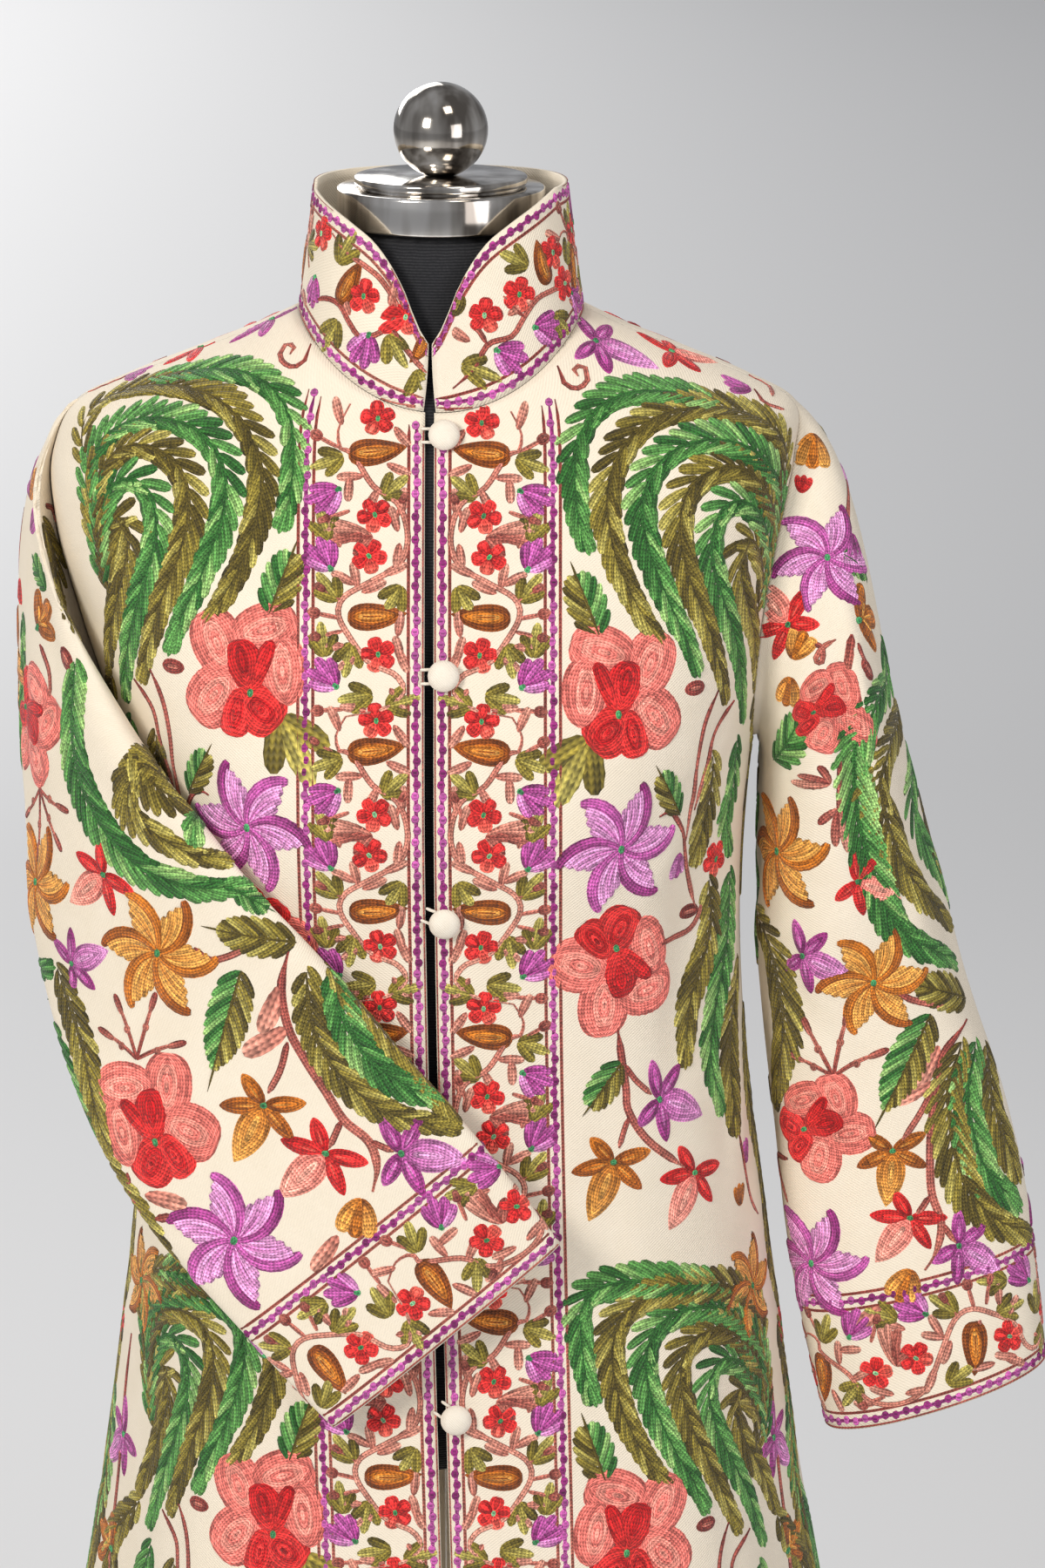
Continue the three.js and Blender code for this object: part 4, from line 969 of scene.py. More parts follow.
def spray(pen, dye=MAUVE):
    """Bare twigs with a berry part way up each and a long bud at its end."""
    for turn, long in [(-58, 20.5), (-26, 30), (8, 34), (50, 25)]:
        twig = blade(long, 3.2, 0.12, 0.12, curl=turn * 0.3, rows=8, across=3)
        pen.put(twig, 0, 0, turn, 0.6, (dye.dark, dye.middle))
        pen.dot(*toward(turn * 1.15, long * 0.62), 5.2, dye.middle, 0.9)
        end_bud = blade(14, 5.2, 0.45, 0.35, rows=7)
        pen.put(end_bud, *toward(turn * 1.15, long * 0.9), turn * 1.3, 0.8, (dye.middle, dye.dark))


def open_bud(pen, dye=OCHRE):
    """A round bud of three petals, seen from the side."""
    for turn, tint in [(-34, dye.dark), (34, dye.middle), (0, dye.middle)]:
        pen.put(blade(22, 11, 0.55, 0.34, curl=-turn * 0.8, rows=9, across=6, follow=True), 0, -8, turn, 0.85,
                (tint, dye.light if turn else dye.middle))


def three_petals(pen, dye=OCHRE):
    for turn, long, wide, tint in [(-50, 22, 13, dye.dark), (4, 25, 14, dye.middle), (56, 22, 13, dye.dark)]:
        shape = blade(long, wide, 0.5, 0.36, rows=9, across=6, follow=True)
        pen.put(shape, 0, 0, turn, 0.85, (tint, dye.middle))
        pen.put(blade(long * 0.5, 3, 0.5, 0.5, rows=6), 0, 3, turn, 1.1, (dye.light, dye.light))
    pen.dot(0, 0, 5, MINT, 1.4)


def small_tulip(pen, dye=PURPLE):
    for turn, colour in [(-30, dye.dark), (30, dye.middle), (0, dye.dark)]:
        shape = blade(15, 7, 0.5, 0.4, curl=-turn * 0.5, rows=7, follow=True)
        pen.put(shape, 0, 0, turn, 0.85, (colour, dye.middle))


def split_leaf(pen, first=OLIVE, second=GREEN, long=46, wide=25, teeth=7):
    """A leaf with a toothed edge, half in one colour and half in another."""
    for side, dye in ((-1, first), (1, second)):
        for i in range(teeth):
            u = (i + 0.3) / teeth
            reach = wide * 0.62 * math.sin(math.pi * min(u + 0.12, 1) ** 0.8) ** 0.7 + 4
            colour = dye.dark if i % 3 == 0 else dye.middle
            tip = dye.light if i % 3 == 2 else colour
            turn = side * (50 - 24 * u)
            stroke = blade(reach, 5.6, 0.3, 0.3, curl=-side * 16, rows=6)
            pen.put(stroke, 0, long * u * 0.82 - long / 2, turn, 0.75, (colour, tip))
    pen.put(blade(long, 2.6, 0.3, 0.5, rows=8, across=3), 0, -long / 2, 0, 0.95, (first.dark, first.dark))


def long_leaf(pen, dye=OLIVE):
    """A long leaf with a toothed edge, half in green."""
    split_leaf(pen, dye, GREEN, 76, 29, 12)


def plain_leaf(pen, dye=OLIVE):
    split_leaf(pen, dye, dye, 56, 25, 9)


MOTIFS = {
    "red flower": red_flower, "tulip": tulip, "drop": drop, "sprig": sprig, "twin leaf": twin_leaf,
    "small leaf": small_leaf, "bud": bud, "seed bud": seed_bud,
    "big flower": big_flower, "pinwheel": pinwheel, "star": star, "three petals": three_petals,
    "small tulip": small_tulip, "split leaf": split_leaf, "long leaf": long_leaf, "plain leaf": plain_leaf,
    "spray": spray, "open bud": open_bud,
}
DYES = {"green": GREEN, "olive": OLIVE, "purple": PURPLE, "red": RED, "salmon": SALMON, "ochre": OCHRE,
        "mauve": MAUVE}


def smooth_path(spots, pace):
    """Points about pace apart on a smooth curve through spots, and its length."""
    spots = np.asarray(spots, float)
    fine = through(spots, np.linspace(0, len(spots) - 1, 24 * (len(spots) - 1) + 1))
    run = np.concatenate([[0], np.cumsum(np.linalg.norm(np.diff(fine, axis=0), axis=1))])
    count = max(int(round(run[-1] / pace)), 2)
    marks = np.linspace(0, run[-1], count + 1)
    return np.stack([np.interp(marks, run, fine[:, k]) for k in (0, 1)], -1), run[-1]


def strand(work, spots, wide, dyes, high=0.6, pace=4.0, across=3, taper=0.12):
    """A line of chain stitches along spots of s and t."""
    path, long = smooth_path(spots, pace)
    s, t = path[:, 0], path[:, 1]
    over, up, step = work.chart.frames(s, t)
    way = unit(np.gradient(work.chart.point(s, t), axis=0))
    side = np.cross(work.chart.normal(s, t), way)
    move = np.stack([np.sum(side * over, -1), np.sum(side * up, -1)], -1)
    move = np.einsum("nij,nj->ni", step, move)
    u = np.linspace(0, 1, len(s))
    half = wide / 2 * np.clip(np.minimum(u, 1 - u) / max(taper, 1e-6), 0.3, 1)
    v = np.linspace(-1, 1, across + 1) * -work.chart.hand
    offset = half[:, None] * v
    rise = np.broadcast_to(1 - np.abs(v) ** 3, offset.shape)
    edge = np.broadcast_to(np.abs(v) ** 3, offset.shape)
    reach = np.broadcast_to(u[:, None], offset.shape)
    along = np.broadcast_to((u * long)[:, None], offset.shape)
    patch = Patch(None, None, rise, along, offset, edge, reach)
    work.lay(s[:, None] + move[:, :1] * offset, t[:, None] + move[:, 1:] * offset, patch, high, dyes)


def trim(work, spots, lines=4.2):
    """The purple beaded line between two thin mauve ones, along spots of s and t."""
    path = smooth_path(spots, 6.4)[0]
    way = unit(np.gradient(path, axis=0))
    side = np.stack([-way[:, 1], way[:, 0]], -1)
    strand(work, path, 2.8, (PURPLE.dark, PURPLE.middle), 0.6, 4.0, 2, 0)
    for i in range(len(path)):
        dye = PURPLE.dark if (i // 8) % 2 else PURPLE.middle
        sway = 0.5 if i % 2 else -0.5
        pen = Pen(work, path[i, 0] + side[i, 0] * sway, path[i, 1] + side[i, 1] * sway)
        pen.put(blade(5.4, 5.0, rows=5, across=3, follow=True), 0, -2.7, 0, 1.0, (dye, dye))
    for offset in (-lines, lines):
        strand(work, path + side * offset, 2.3, (MAUVE.dark, MAUVE.middle), 0.65, 5.0, 2, 0)


def frond(work, spots, dye, leaflet=18.5, flip=1, pace=7.6):
    """A garland of leaflets on both sides of a stem, along spots of s and t from its root to its tip."""
    spots = np.asarray(spots, float) * [flip, 1]
    path = smooth_path(spots, pace)[0]
    s, t = path[:, 0], path[:, 1]
    over, up, _ = work.chart.frames(s, t)
    way = unit(np.gradient(work.chart.point(s, t), axis=0))
    heading = np.degrees(np.arctan2(np.sum(way * over, -1) * flip, np.sum(way * up, -1)))
    heading = np.unwrap(heading, period=360)
    strand(work, spots, 4.6, (dye.dark, dye.dark), 0.45, 6.0, 2)
    last = len(s) - 1
    for i in range(last + 1):
        place = i / last
        size = 0.58 + 0.46 * math.sin(math.pi * (0.06 + 0.92 * place)) ** 0.6
        for side in (-1, 1):
            spread = (37 - 20 * place**2) * side
            shift = 0.5 if side > 0 else 0.0
            k = min(i + shift, last)
            here = [float(np.interp(k, np.arange(last + 1), a)) for a in (s, t)]
            way_here = float(np.interp(k, np.arange(last + 1), heading))
            pen = Pen(work, here[0] * flip, here[1], way_here, flip=flip)
            colours = random.choice([(dye.dark, dye.dark), (dye.dark, dye.middle), (dye.middle, dye.middle),
                                     (dye.middle, dye.light)])
            long = leaflet * size * random.uniform(1.0, 1.18)
            wide = 6.9 * random.uniform(0.88, 1.12)
            shape = blade(long, wide, 0.5, 0.3, curl=-side * 15, rows=6, across=3)
            pen.put(shape, 0.6 * side, -3.5, spread, 0.95 - 0.12 * (side > 0), colours)
    tip = Pen(work, s[-1] * flip, t[-1], float(heading[-1]), flip=flip)
    tip.put(blade(leaflet * 0.8, 5.2, 0.5, 0.6, rows=7), 0, -3, 0, 1.0, (dye.middle, dye.middle))


# The band down each front and round each cuff: one repeat of its motifs. across is measured from
# the opening's edge, down along the band. turn is clockwise from up the band.
BAND_REPEAT = 164.0
BAND_TRIMS = (4.6, 65.4)
BAND_WIDEN = 1.05
BAND_FROM = 8  # how far below the neckline a front's band starts
BAND_SHORT = 22  # how much shorter than its front the band is
HEM_TRIM_UP = 8  # from the hem to the middle of its trim
HEM_CLEAR = 12  # what is left free of motifs above the hem
CUFF_MIDDLE_UP = 35  # where the band's turn round the sleeve is measured, from the cuff up
CUFF_TRIM_UP = 4.5
CUFF_TRIM_ACROSS = 4.3
CUFF_WIDEN = 1.08
STEM_WIDEN = 1.22
BandMotif = namedtuple("BandMotif", "kind across down turn dye")
BAND = [BandMotif(kind, *spot, dye) for kind, dye, spots in [
    ("drop", "ochre", [(26, 17, -88), (26, 108, -92)]),
    ("red flower", "red", [(25, 0, 0), (26, 51, 20), (29, 74, 40), (24, 128, 10)]),
    ("tulip", "purple", [(45, 38, 125), (49, 82, 35), (46, 146, 50)]),
    ("sprig", "olive", [(43, 20, 112), (22, 41, -48), (12, 90, 150), (45, 99, 40), (38, 122, 170),
         (27, 150, 100), (20, 156, -75)]),
    ("twin leaf", "mauve", [(27, 63, 82)]),
    ("small leaf", "mauve", [(32, 30, 88), (39, 30, 172), (14, 60, 12), (13, 66, 170), (35, 92, 8),
         (33, 94, -70), (14, 124, -160), (41, 124, 88), (16, 2, -150)]),
    ("bud", "mauve", [(55, 13, 60), (55, 107, 80), (54, 119, 105), (12, 44, -20), (53, 159, 95)]),
    ("small leaf", "mauve", [(44, 6, 20), (20, 22, -120), (24, 36, 150), (12, 50, -10)]),
    ("twin leaf", "mauve", [(30, 60, 100)]),
    ("small leaf", "mauve", [(22, 84, -70), (36, 90, 60), (44, 70, 20)]),
    ("bud", "mauve", [(52, 94, 60)]),
    ("small leaf", "mauve", [(38, 112, -60), (33, 128, 120), (14, 118, -10), (12, 132, 10), (18, 146, -150),
         (30, 158, 80)]),
    ("bud", "mauve", [(50, 54, 110)]),
    ("sprig", "olive", [(50, 66, 20), (52, 130, 10)]),
] for spot in spots]
# The band's stem, across and down
BAND_STEM = [
    (41, -2), (46, 8), (44, 17), (38, 18), (27, 35), (15, 43), (10, 54), (9, 67), (14, 79), (28, 88),
    (42, 97), (45, 107), (39, 119), (29, 132), (15, 139), (11, 148), (20, 157), (41, 162),
]


def band(work, place, turn, length, own=False):
    """Lays the band for a length. place turns across and down into s and t; turn is the band's own."""
    repeats = int(math.ceil(length / BAND_REPEAT))
    for n in range(repeats):
        start = n * BAND_REPEAT
        stem = [(a, start + d) for a, d in BAND_STEM if start + d <= length]
        if len(stem) > 2:
            spots = [place(a * BAND_WIDEN, d) for a, d in stem]
            strand(work, spots, 4.0, (MAUVE.middle, MAUVE.light), 0.65, 4.0)
        for m in BAND:
            down = start + m.down
            if down > length - 6:
                continue
            s, t = place(m.across * BAND_WIDEN, down)
            MOTIFS[m.kind](Pen(work, s, t, m.turn + turn, own=own), DYES[m.dye])
    for across in BAND_TRIMS:
        marks = np.arange(0, length + 1, 20.5)
        trim(work, [place(across, d) for d in marks])


# The field beside the band, as it shows on the wearer's left front. x and y are pixels of the
# photograph. The other front and the back take the same chart.
FieldMotif = namedtuple("FieldMotif", "kind x y turn size dye")
FieldStem = namedtuple("FieldStem", "wide spots")
Garland = namedtuple("Garland", "dye spots leaf", defaults=(18.5,))
Layout = namedtuple("Layout", "motifs stems garlands")


def layout(motifs, stems=(), garlands=()):
    return Layout(rows_of(FieldMotif, motifs), rows_of(FieldStem, stems), rows_of(Garland, garlands))


SHOULDER = layout([
    ("star", 684, 392, 10, 0.95, "purple"),
    ("star", 771, 404, 10, 0.95, "red"),
    ("small tulip", 862, 446, -60, 1.1, "purple"),
], [
    (3.2, [(640, 420), (648, 440), (662, 446), (674, 438), (674, 424), (664, 420), (658, 427), (664, 432)]),
    (3.2, [(866, 447), (878, 462), (900, 470)]),
    (3.2, [(868, 418), (880, 440), (884, 458)]),
])
FIELD = layout([
    ("big flower", 714, 793, 0, 1.04, "salmon"),
    ("pinwheel", 713, 975, 0, 1, "purple"),
    ("big flower", 712, 1112, 150, 1.04, "salmon"),
    ("split leaf", 672, 688, -18, 1, "olive"),
    ("split leaf", 768, 908, -30, 0.8, "olive"),
    ("split leaf", 692, 1250, -140, 0.85, "olive"),
    ("sprig", 676, 848, -150, 2.2, "olive"),
    ("seed bud", 798, 790, 88, 1, "mauve"),
    ("seed bud", 790, 1046, 86, 1, "mauve"),
    ("star", 757, 1262, 0, 0.98, "purple"),
    ("star", 704, 1334, 90, 0.98, "ochre"),
    ("star", 797, 1346, 100, 0.98, "red"),
    ("small tulip", 857, 1335, 8, 1, "purple"),
    ("red flower", 821, 986, 30, 1.1, "red"),
    ("small tulip", 850, 1384, 0, 0.9, "ochre"),
    ("open bud", 778, 990, 170, 0.7, "purple"),
], [
    (3.4, [(825, 792), (810, 830), (802, 870), (798, 905), (792, 935), (787, 965)]),
    (3.2, [(843, 804), (822, 838), (814, 872), (806, 900), (797, 930)]),
    (3.4, [(757, 938), (770, 932), (780, 945), (786, 970), (789, 1000), (798, 1040)]),
    (3.4, [(746, 1088), (770, 1078), (790, 1068), (802, 1050), (806, 1030)]),
    (4.6, [(709, 1180), (714, 1215), (719, 1250), (722, 1276), (745, 1310), (786, 1340)]),
    (3.4, [(717, 1222), (730, 1240), (748, 1256)]),
    (3.4, [(722, 1282), (716, 1300), (711, 1318)]),
    (3.2, [(848, 1300), (856, 1345), (862, 1375), (872, 1390)]),
], [
    ("green", [(820, 458), (779, 451), (738, 449), (705, 457), (680, 476), (665, 502), (660, 533),
         (661, 567), (665, 598), (670, 615)]),
    ("olive", [(898, 560), (903, 520), (885, 488), (848, 472), (813, 467), (774, 472), (742, 487),
         (716, 514), (702, 544), (697, 577), (701, 611), (709, 645), (722, 676), (738, 706), (750, 724)]),
    ("green", [(893, 610), (897, 565), (880, 530), (855, 512), (826, 505), (798, 508), (770, 520),
         (749, 543), (739, 572), (739, 602), (746, 633), (757, 663), (770, 695), (786, 728), (797, 757)]),
    ("olive", [(888, 650), (892, 610), (884, 572), (866, 546), (842, 536), (818, 541), (796, 556),
         (784, 580), (781, 608), (785, 638), (794, 670), (807, 702), (821, 745), (832, 790)]),
    ("green", [(880, 690), (884, 650), (880, 610), (866, 582), (844, 576), (826, 592), (818, 620),
         (820, 650), (829, 684), (841, 722), (850, 768), (853, 812)]),
    ("olive", [(868, 705), (876, 670), (872, 635), (860, 618), (851, 634), (851, 660), (857, 690),
         (866, 730), (872, 775)]),
    ("olive", [(818, 868), (816, 905), (808, 940), (802, 975)]),
    ("green", [(846, 850), (842, 895), (834, 935), (836, 965)]),
    ("olive", [(868, 800), (866, 850), (860, 900), (858, 960), (862, 1010)]),
    ("olive", [(814, 1010), (816, 1060), (806, 1105), (792, 1150), (788, 1205)]),
    ("green", [(838, 1000), (834, 1080), (822, 1150), (816, 1210), (826, 1262)]),
    ("olive", [(846, 1100), (842, 1150), (838, 1208), (844, 1285)]),
])
HANGING = layout([
    ("small leaf", 942, 478, 150, 2, "olive"),
    ("open bud", 934, 512, 190, 0.95, "ochre"),
    ("small tulip", 920, 566, 10, 0.7, "red"),
    ("pinwheel", 950, 640, 0, 0.84, "purple"),
    ("small tulip", 978, 612, 190, 1.1, "purple"),
    ("split leaf", 985, 648, 130, 0.7, "green"),
    ("three petals", 986, 712, 80, 1, "ochre"),
    ("star", 905, 717, -150, 0.9, "red"),
    ("open bud", 915, 745, 20, 0.8, "ochre"),
    ("open bud", 906, 790, 190, 0.8, "ochre"),
    ("seed bud", 996, 768, 150, 1, "mauve"),
    ("big flower", 950, 812, 60, 0.66, "salmon"),
    ("split leaf", 905, 852, 38, 1, "green"),
    ("twin leaf", 954, 900, -84, 1, "mauve"),
    ("twin leaf", 963, 928, 176, 1, "mauve"),
    ("pinwheel", 893, 977, 0, 1, "ochre"),
    ("star", 984, 1012, 0, 0.8, "red"),
    ("star", 922, 1097, 0, 0.9, "purple"),
    ("pinwheel", 1003, 1128, 0, 0.88, "ochre"),
    ("plain leaf", 1079, 1137, -70, 1, "olive"),
    ("long leaf", 1037, 1232, 205, 1, "olive"),
    ("small leaf", 1078, 1200, 205, 1.8, "mauve"),
    ("small leaf", 1070, 1242, 240, 1.7, "mauve"),
    ("spray", 957, 1236, 0, 1, "mauve"),
    ("big flower", 942, 1290, 50, 0.84, "salmon"),
    ("star", 1025, 1321, 70, 0.9, "ochre"),
    ("star", 1045, 1398, 100, 0.9, "red"),
    ("star", 1101, 1430, 10, 0.9, "purple"),
    ("open bud", 1041, 1471, 200, 0.95, "ochre"),
    ("small leaf", 1012, 1498, -140, 1.8, "mauve"),
    ("pinwheel", 932, 1450, 0, 0.95, "purple"),
], [
    (4, [(978, 540), (974, 580), (972, 610)]),
    (3.2, [(922, 748), (934, 738), (944, 744), (944, 760), (936, 758), (944, 744), (960, 734)]),
    (5, [(978, 728), (974, 760), (968, 790)]),
    (3.4, [(985, 738), (992, 756), (1000, 772)]),
    (4, [(965, 868), (964, 900), (966, 940), (974, 950)]),
    (4, [(1026, 1133), (1045, 1147), (1089, 1156)]),
    (4.6, [(1110, 1170), (1085, 1206), (1077, 1240), (1070, 1286), (1068, 1328), (1070, 1370), (1081, 1404),
         (1075, 1438), (1062, 1458)]),
    (3.8, [(1075, 1240), (1058, 1276), (1036, 1310)]),
    (3.8, [(1068, 1372), (1060, 1385), (1052, 1396)]),
    (3.8, [(1080, 1404), (1090, 1416), (1098, 1426)]),
    (4, [(905, 1330), (892, 1352), (905, 1380)]),
], [
    ("green", [(1012, 735), (1018, 775), (1000, 815), (985, 851), (981, 886), (983, 922), (990, 958),
         (1001, 997), (1014, 1036), (1032, 1064), (1060, 1085), (1092, 1096)], 23),
    ("olive", [(1042, 792), (1030, 829), (1016, 862), (1011, 895), (1015, 926), (1024, 958), (1038, 992),
         (1060, 1024), (1090, 1046)], 23),
    ("green", [(1052, 840), (1046, 879), (1047, 915), (1056, 951), (1073, 988), (1096, 1010)], 23),
    ("olive", [(1062, 890), (1070, 930), (1084, 965)], 22),
    ("olive", [(872, 1035), (880, 1076), (892, 1122), (899, 1168), (897, 1210), (892, 1250)], 23),
    ("olive", [(1104, 1196), (1089, 1250), (1096, 1318), (1113, 1366), (1142, 1398), (1172, 1412)], 24),
    ("green", [(1120, 1196), (1112, 1244), (1116, 1292), (1131, 1340), (1160, 1374)], 23),
    ("olive", [(1132, 1200), (1138, 1253), (1150, 1295), (1164, 1334)], 23),
])
FOLDED = layout([
    ("open bud", 38, 560, 0, 0.9, "ochre"),
    ("small tulip", 36, 612, 20, 1, "purple"),
    ("split leaf", 44, 655, -60, 0.7, "green"),
    ("three petals", 44, 720, 30, 1, "ochre"),
    ("seed bud", 76, 756, 130, 1.1, "mauve"),
    ("big flower", 36, 826, 100, 1, "salmon"),
    ("spray", 46, 905, 172, 1, "mauve"),
    ("star", 119, 1004, 118, 0.95, "red"),
    ("pinwheel", 42, 1012, 0, 0.95, "ochre"),
    ("star", 83, 1106, -50, 0.85, "purple"),
    ("pinwheel", 181, 1094, 10, 1, "ochre"),
    ("plain leaf", 284, 1074, -84, 1, "olive"),
    ("long leaf", 258, 1182, 196, 1, "olive"),
    ("small leaf", 324, 1130, 200, 2.1, "mauve"),
    ("small leaf", 330, 1180, 232, 2.1, "mauve"),
    ("spray", 157, 1216, 6, 0.95, "mauve"),
    ("big flower", 174, 1284, -30, 1.04, "salmon"),
    ("star", 303, 1269, 92, 1.02, "ochre"),
    ("star", 374, 1324, 110, 1.02, "red"),
    ("star", 461, 1324, -20, 1.02, "purple"),
    ("open bud", 412, 1392, 190, 1.05, "ochre"),
    ("small leaf", 388, 1418, -150, 1.7, "mauve"),
    ("pinwheel", 269, 1424, 20, 1.06, "purple"),
    ("small leaf", 166, 1372, 92, 1.8, "mauve"),
    ("split leaf", 292, 1034, 120, 0.6, "green"),
], [
    (3.4, [(52, 580), (62, 598), (70, 615)]),
    (4, [(46, 740), (56, 770), (58, 800)]),
    (4, [(223, 1088), (240, 1102), (262, 1098), (284, 1088)]),
    (5, [(331, 1092), (323, 1135), (331, 1180), (350, 1216), (374, 1253), (395, 1286), (423, 1310),
         (433, 1339), (428, 1368)]),
    (4, [(330, 1196), (322, 1228), (308, 1255)]),
    (3.8, [(392, 1286), (386, 1300), (378, 1318)]),
    (3.8, [(424, 1310), (438, 1316), (452, 1322)]),
    (4, [(146, 1346), (152, 1376), (162, 1392)]),
    (5, [(178, 1400), (196, 1398), (214, 1410)]),
], [
    ("olive", [(50, 600), (64, 650), (76, 702), (86, 736)], 20),
    ("olive", [(104, 776), (110, 813), (117, 850), (130, 890), (150, 928), (180, 958), (214, 978),
         (246, 984)], 21),
    ("green", [(86, 762), (84, 798), (82, 835), (88, 880), (102, 922), (126, 962), (158, 994), (200, 1012),
         (237, 1020), (272, 1016)], 21),
    ("green", [(126, 822), (136, 852), (150, 884), (170, 914), (196, 938), (224, 952)], 20),
    ("olive", [(152, 862), (166, 886), (184, 906), (206, 920)], 18),
    ("olive", [(66, 1112), (83, 1163), (97, 1212), (107, 1261), (119, 1306)], 19.5),
    ("green", [(60, 1180), (80, 1240), (98, 1290)], 17),
    ("olive", [(352, 1116), (356, 1168), (376, 1215), (408, 1252), (452, 1280), (512, 1292)], 17),
    ("green", [(380, 1118), (398, 1176), (426, 1218), (462, 1244), (490, 1256)], 19.5),
    ("olive", [(376, 1110), (408, 1140), (444, 1182), (478, 1222), (514, 1272)], 20),
])
COLLAR = layout([
    ("drop", 399, 326, 22, 0.85, "ochre"),
    ("red flower", 418, 340, 0, 1, "red"),
    ("red flower", 466, 364, 10, 1, "red"),
    ("tulip", 424, 384, 200, 1, "purple"),
    ("sprig", 388, 302, 30, 1.1, "olive"),
    ("sprig", 446, 384, 150, 1.1, "olive"),
    ("sprig", 388, 368, 210, 1.1, "olive"),
    ("sprig", 480, 424, 160, 1, "olive"),
    ("drop", 486, 398, 200, 0.6, "ochre"),
    ("small leaf", 448, 352, 10, 1.1, "mauve"),
    ("small leaf", 402, 362, -30, 1.1, "mauve"),
    ("red flower", 370, 268, 0, 1, "red"),
    ("tulip", 362, 318, 190, 0.9, "purple"),
    ("seed bud", 525, 350, 200, 0.9, "olive"),
    ("red flower", 556, 362, 0, 1, "red"),
    ("red flower", 596, 338, 10, 1, "red"),
    ("red flower", 634, 290, 0, 1, "red"),
    ("red flower", 655, 264, 0, 1, "red"),
    ("drop", 622, 304, -20, 0.8, "ochre"),
    ("tulip", 570, 402, 120, 1, "purple"),
    ("tulip", 614, 376, 100, 1, "purple"),
    ("tulip", 655, 336, 120, 0.9, "purple"),
    ("sprig", 530, 420, 100, 1, "olive"),
    ("sprig", 636, 362, 130, 1, "olive"),
    ("sprig", 650, 302, 40, 1, "olive"),
    ("sprig", 606, 306, -60, 1, "olive"),
    ("small leaf", 583, 362, 60, 1.1, "mauve"),
    ("small leaf", 540, 392, -60, 1.1, "mauve"),
], [
    (3.2, [(356, 350), (374, 346), (392, 352), (402, 372), (416, 388), (442, 378), (456, 354), (440, 324),
         (420, 306), (396, 288), (382, 268)]),
    (3.2, [(446, 372), (460, 392), (474, 410), (488, 430)]),
    (3.2, [(520, 446), (544, 424), (560, 396), (588, 386), (602, 364), (618, 342), (640, 330), (656, 312),
         (662, 290)]),
    (3, [(560, 396), (550, 380), (540, 372)]),
    (3, [(602, 364), (590, 352), (578, 340)]),
])
# More of the same for the wide part of the skirt under the arms, as s and t on the left front
SIDE = layout([
    ("pinwheel", 206, 524, 0, 0.8, "ochre"),
    ("star", 226, 620, 20, 0.95, "purple"),
    ("three petals", 236, 690, 60, 1, "ochre"),
    ("big flower", 246, 770, 40, 1, "salmon"),
    ("star", 258, 850, -40, 0.95, "red"),
    ("pinwheel", 256, 915, 0, 0.9, "purple"),
], [
    (4, [(222, 560), (228, 590), (232, 640), (238, 690), (240, 735)]),
    (4, [(250, 800), (262, 826), (262, 860), (258, 890)]),
], [
    ("olive", [(252, 560), (266, 610), (258, 660), (272, 720)]),
])
# Along the side seams: s is measured from the seam
SEAM_RUN = layout([
    ("red flower", -16, 566, 0, 1.2, "red"),
    ("star", -30, 846, 20, 0.8, "ochre"),
], [], [
    ("olive", [(-14, 372), (-28, 420), (-14, 470), (-26, 520), (-20, 545)]),
    ("green", [(-20, 600), (-36, 650), (-16, 705), (-32, 760), (-24, 812)]),
    ("olive", [(-20, 866), (-34, 892), (-24, 920), (-28, 936)]),
])
FIELD_REPEAT = 485.0
# In pixels: twice the place of the opening, and how much higher the right front's pattern sits
MIRROR_X = 997
RIGHT_FRONT_RISE = 25
# The middle of the back, and the outer side of a sleeve's head, as s and t
SPINE = layout([
    ("red flower", 0, 190, 0, 1.1, "red"),
    ("sprig", 0, 176, 0, 1.2, "olive"),
    ("star", 0, 420, 180, 0.8, "ochre"),
    ("sprig", 0, 388, 0, 1.4, "olive"),
    ("red flower", 0, 500, 20, 1.1, "red"),
    ("sprig", 0, 516, 180, 1.4, "olive"),
    ("red flower", 0, 680, 0, 1.1, "red"),
    ("sprig", 0, 664, 0, 1.2, "olive"),
    ("star", 0, 905, 180, 0.8, "ochre"),
    ("sprig", 0, 873, 0, 1.4, "olive"),
], [], [
    ("olive", [(0, 60), (0, 96), (0, 140)], 14),
    ("green", [(0, 545), (0, 590), (0, 630)], 14),
])
SLEEVE_HEAD = layout([
    ("star", -34, 44, 200, 0.8, "purple"),
    ("pinwheel", -72, 128, 0, 0.8, "ochre"),
    ("red flower", -128, 60, 0, 1.2, "red"),
    ("split leaf", -100, 62, 30, 0.8, "olive"),
    ("small tulip", -30, 108, 180, 1, "red"),
    ("seed bud", -58, 78, 40, 1, "mauve"),
], [
    (3.4, [(-36, 58), (-44, 80), (-58, 100), (-70, 112)]),
], [
    ("green", [(-26, 132), (-34, 160), (-52, 184), (-76, 200)]),
    ("olive", [(-100, 90), (-112, 122), (-110, 156), (-94, 182)]),
    ("green", [(-134, 84), (-144, 120), (-142, 158), (-126, 190)]),
])


def other_front(layout):
    """The left front's layout as it shows on the right one."""
    def moved(spots):
        return [(MIRROR_X - x, y - RIGHT_FRONT_RISE) for x, y in spots]

    return Layout(
        [m._replace(x=MIRROR_X - m.x, y=m.y - RIGHT_FRONT_RISE) for m in layout.motifs],
        [m._replace(spots=moved(m.spots)) for m in layout.stems],
        [m._replace(spots=moved(m.spots)) for m in layout.garlands],
    )


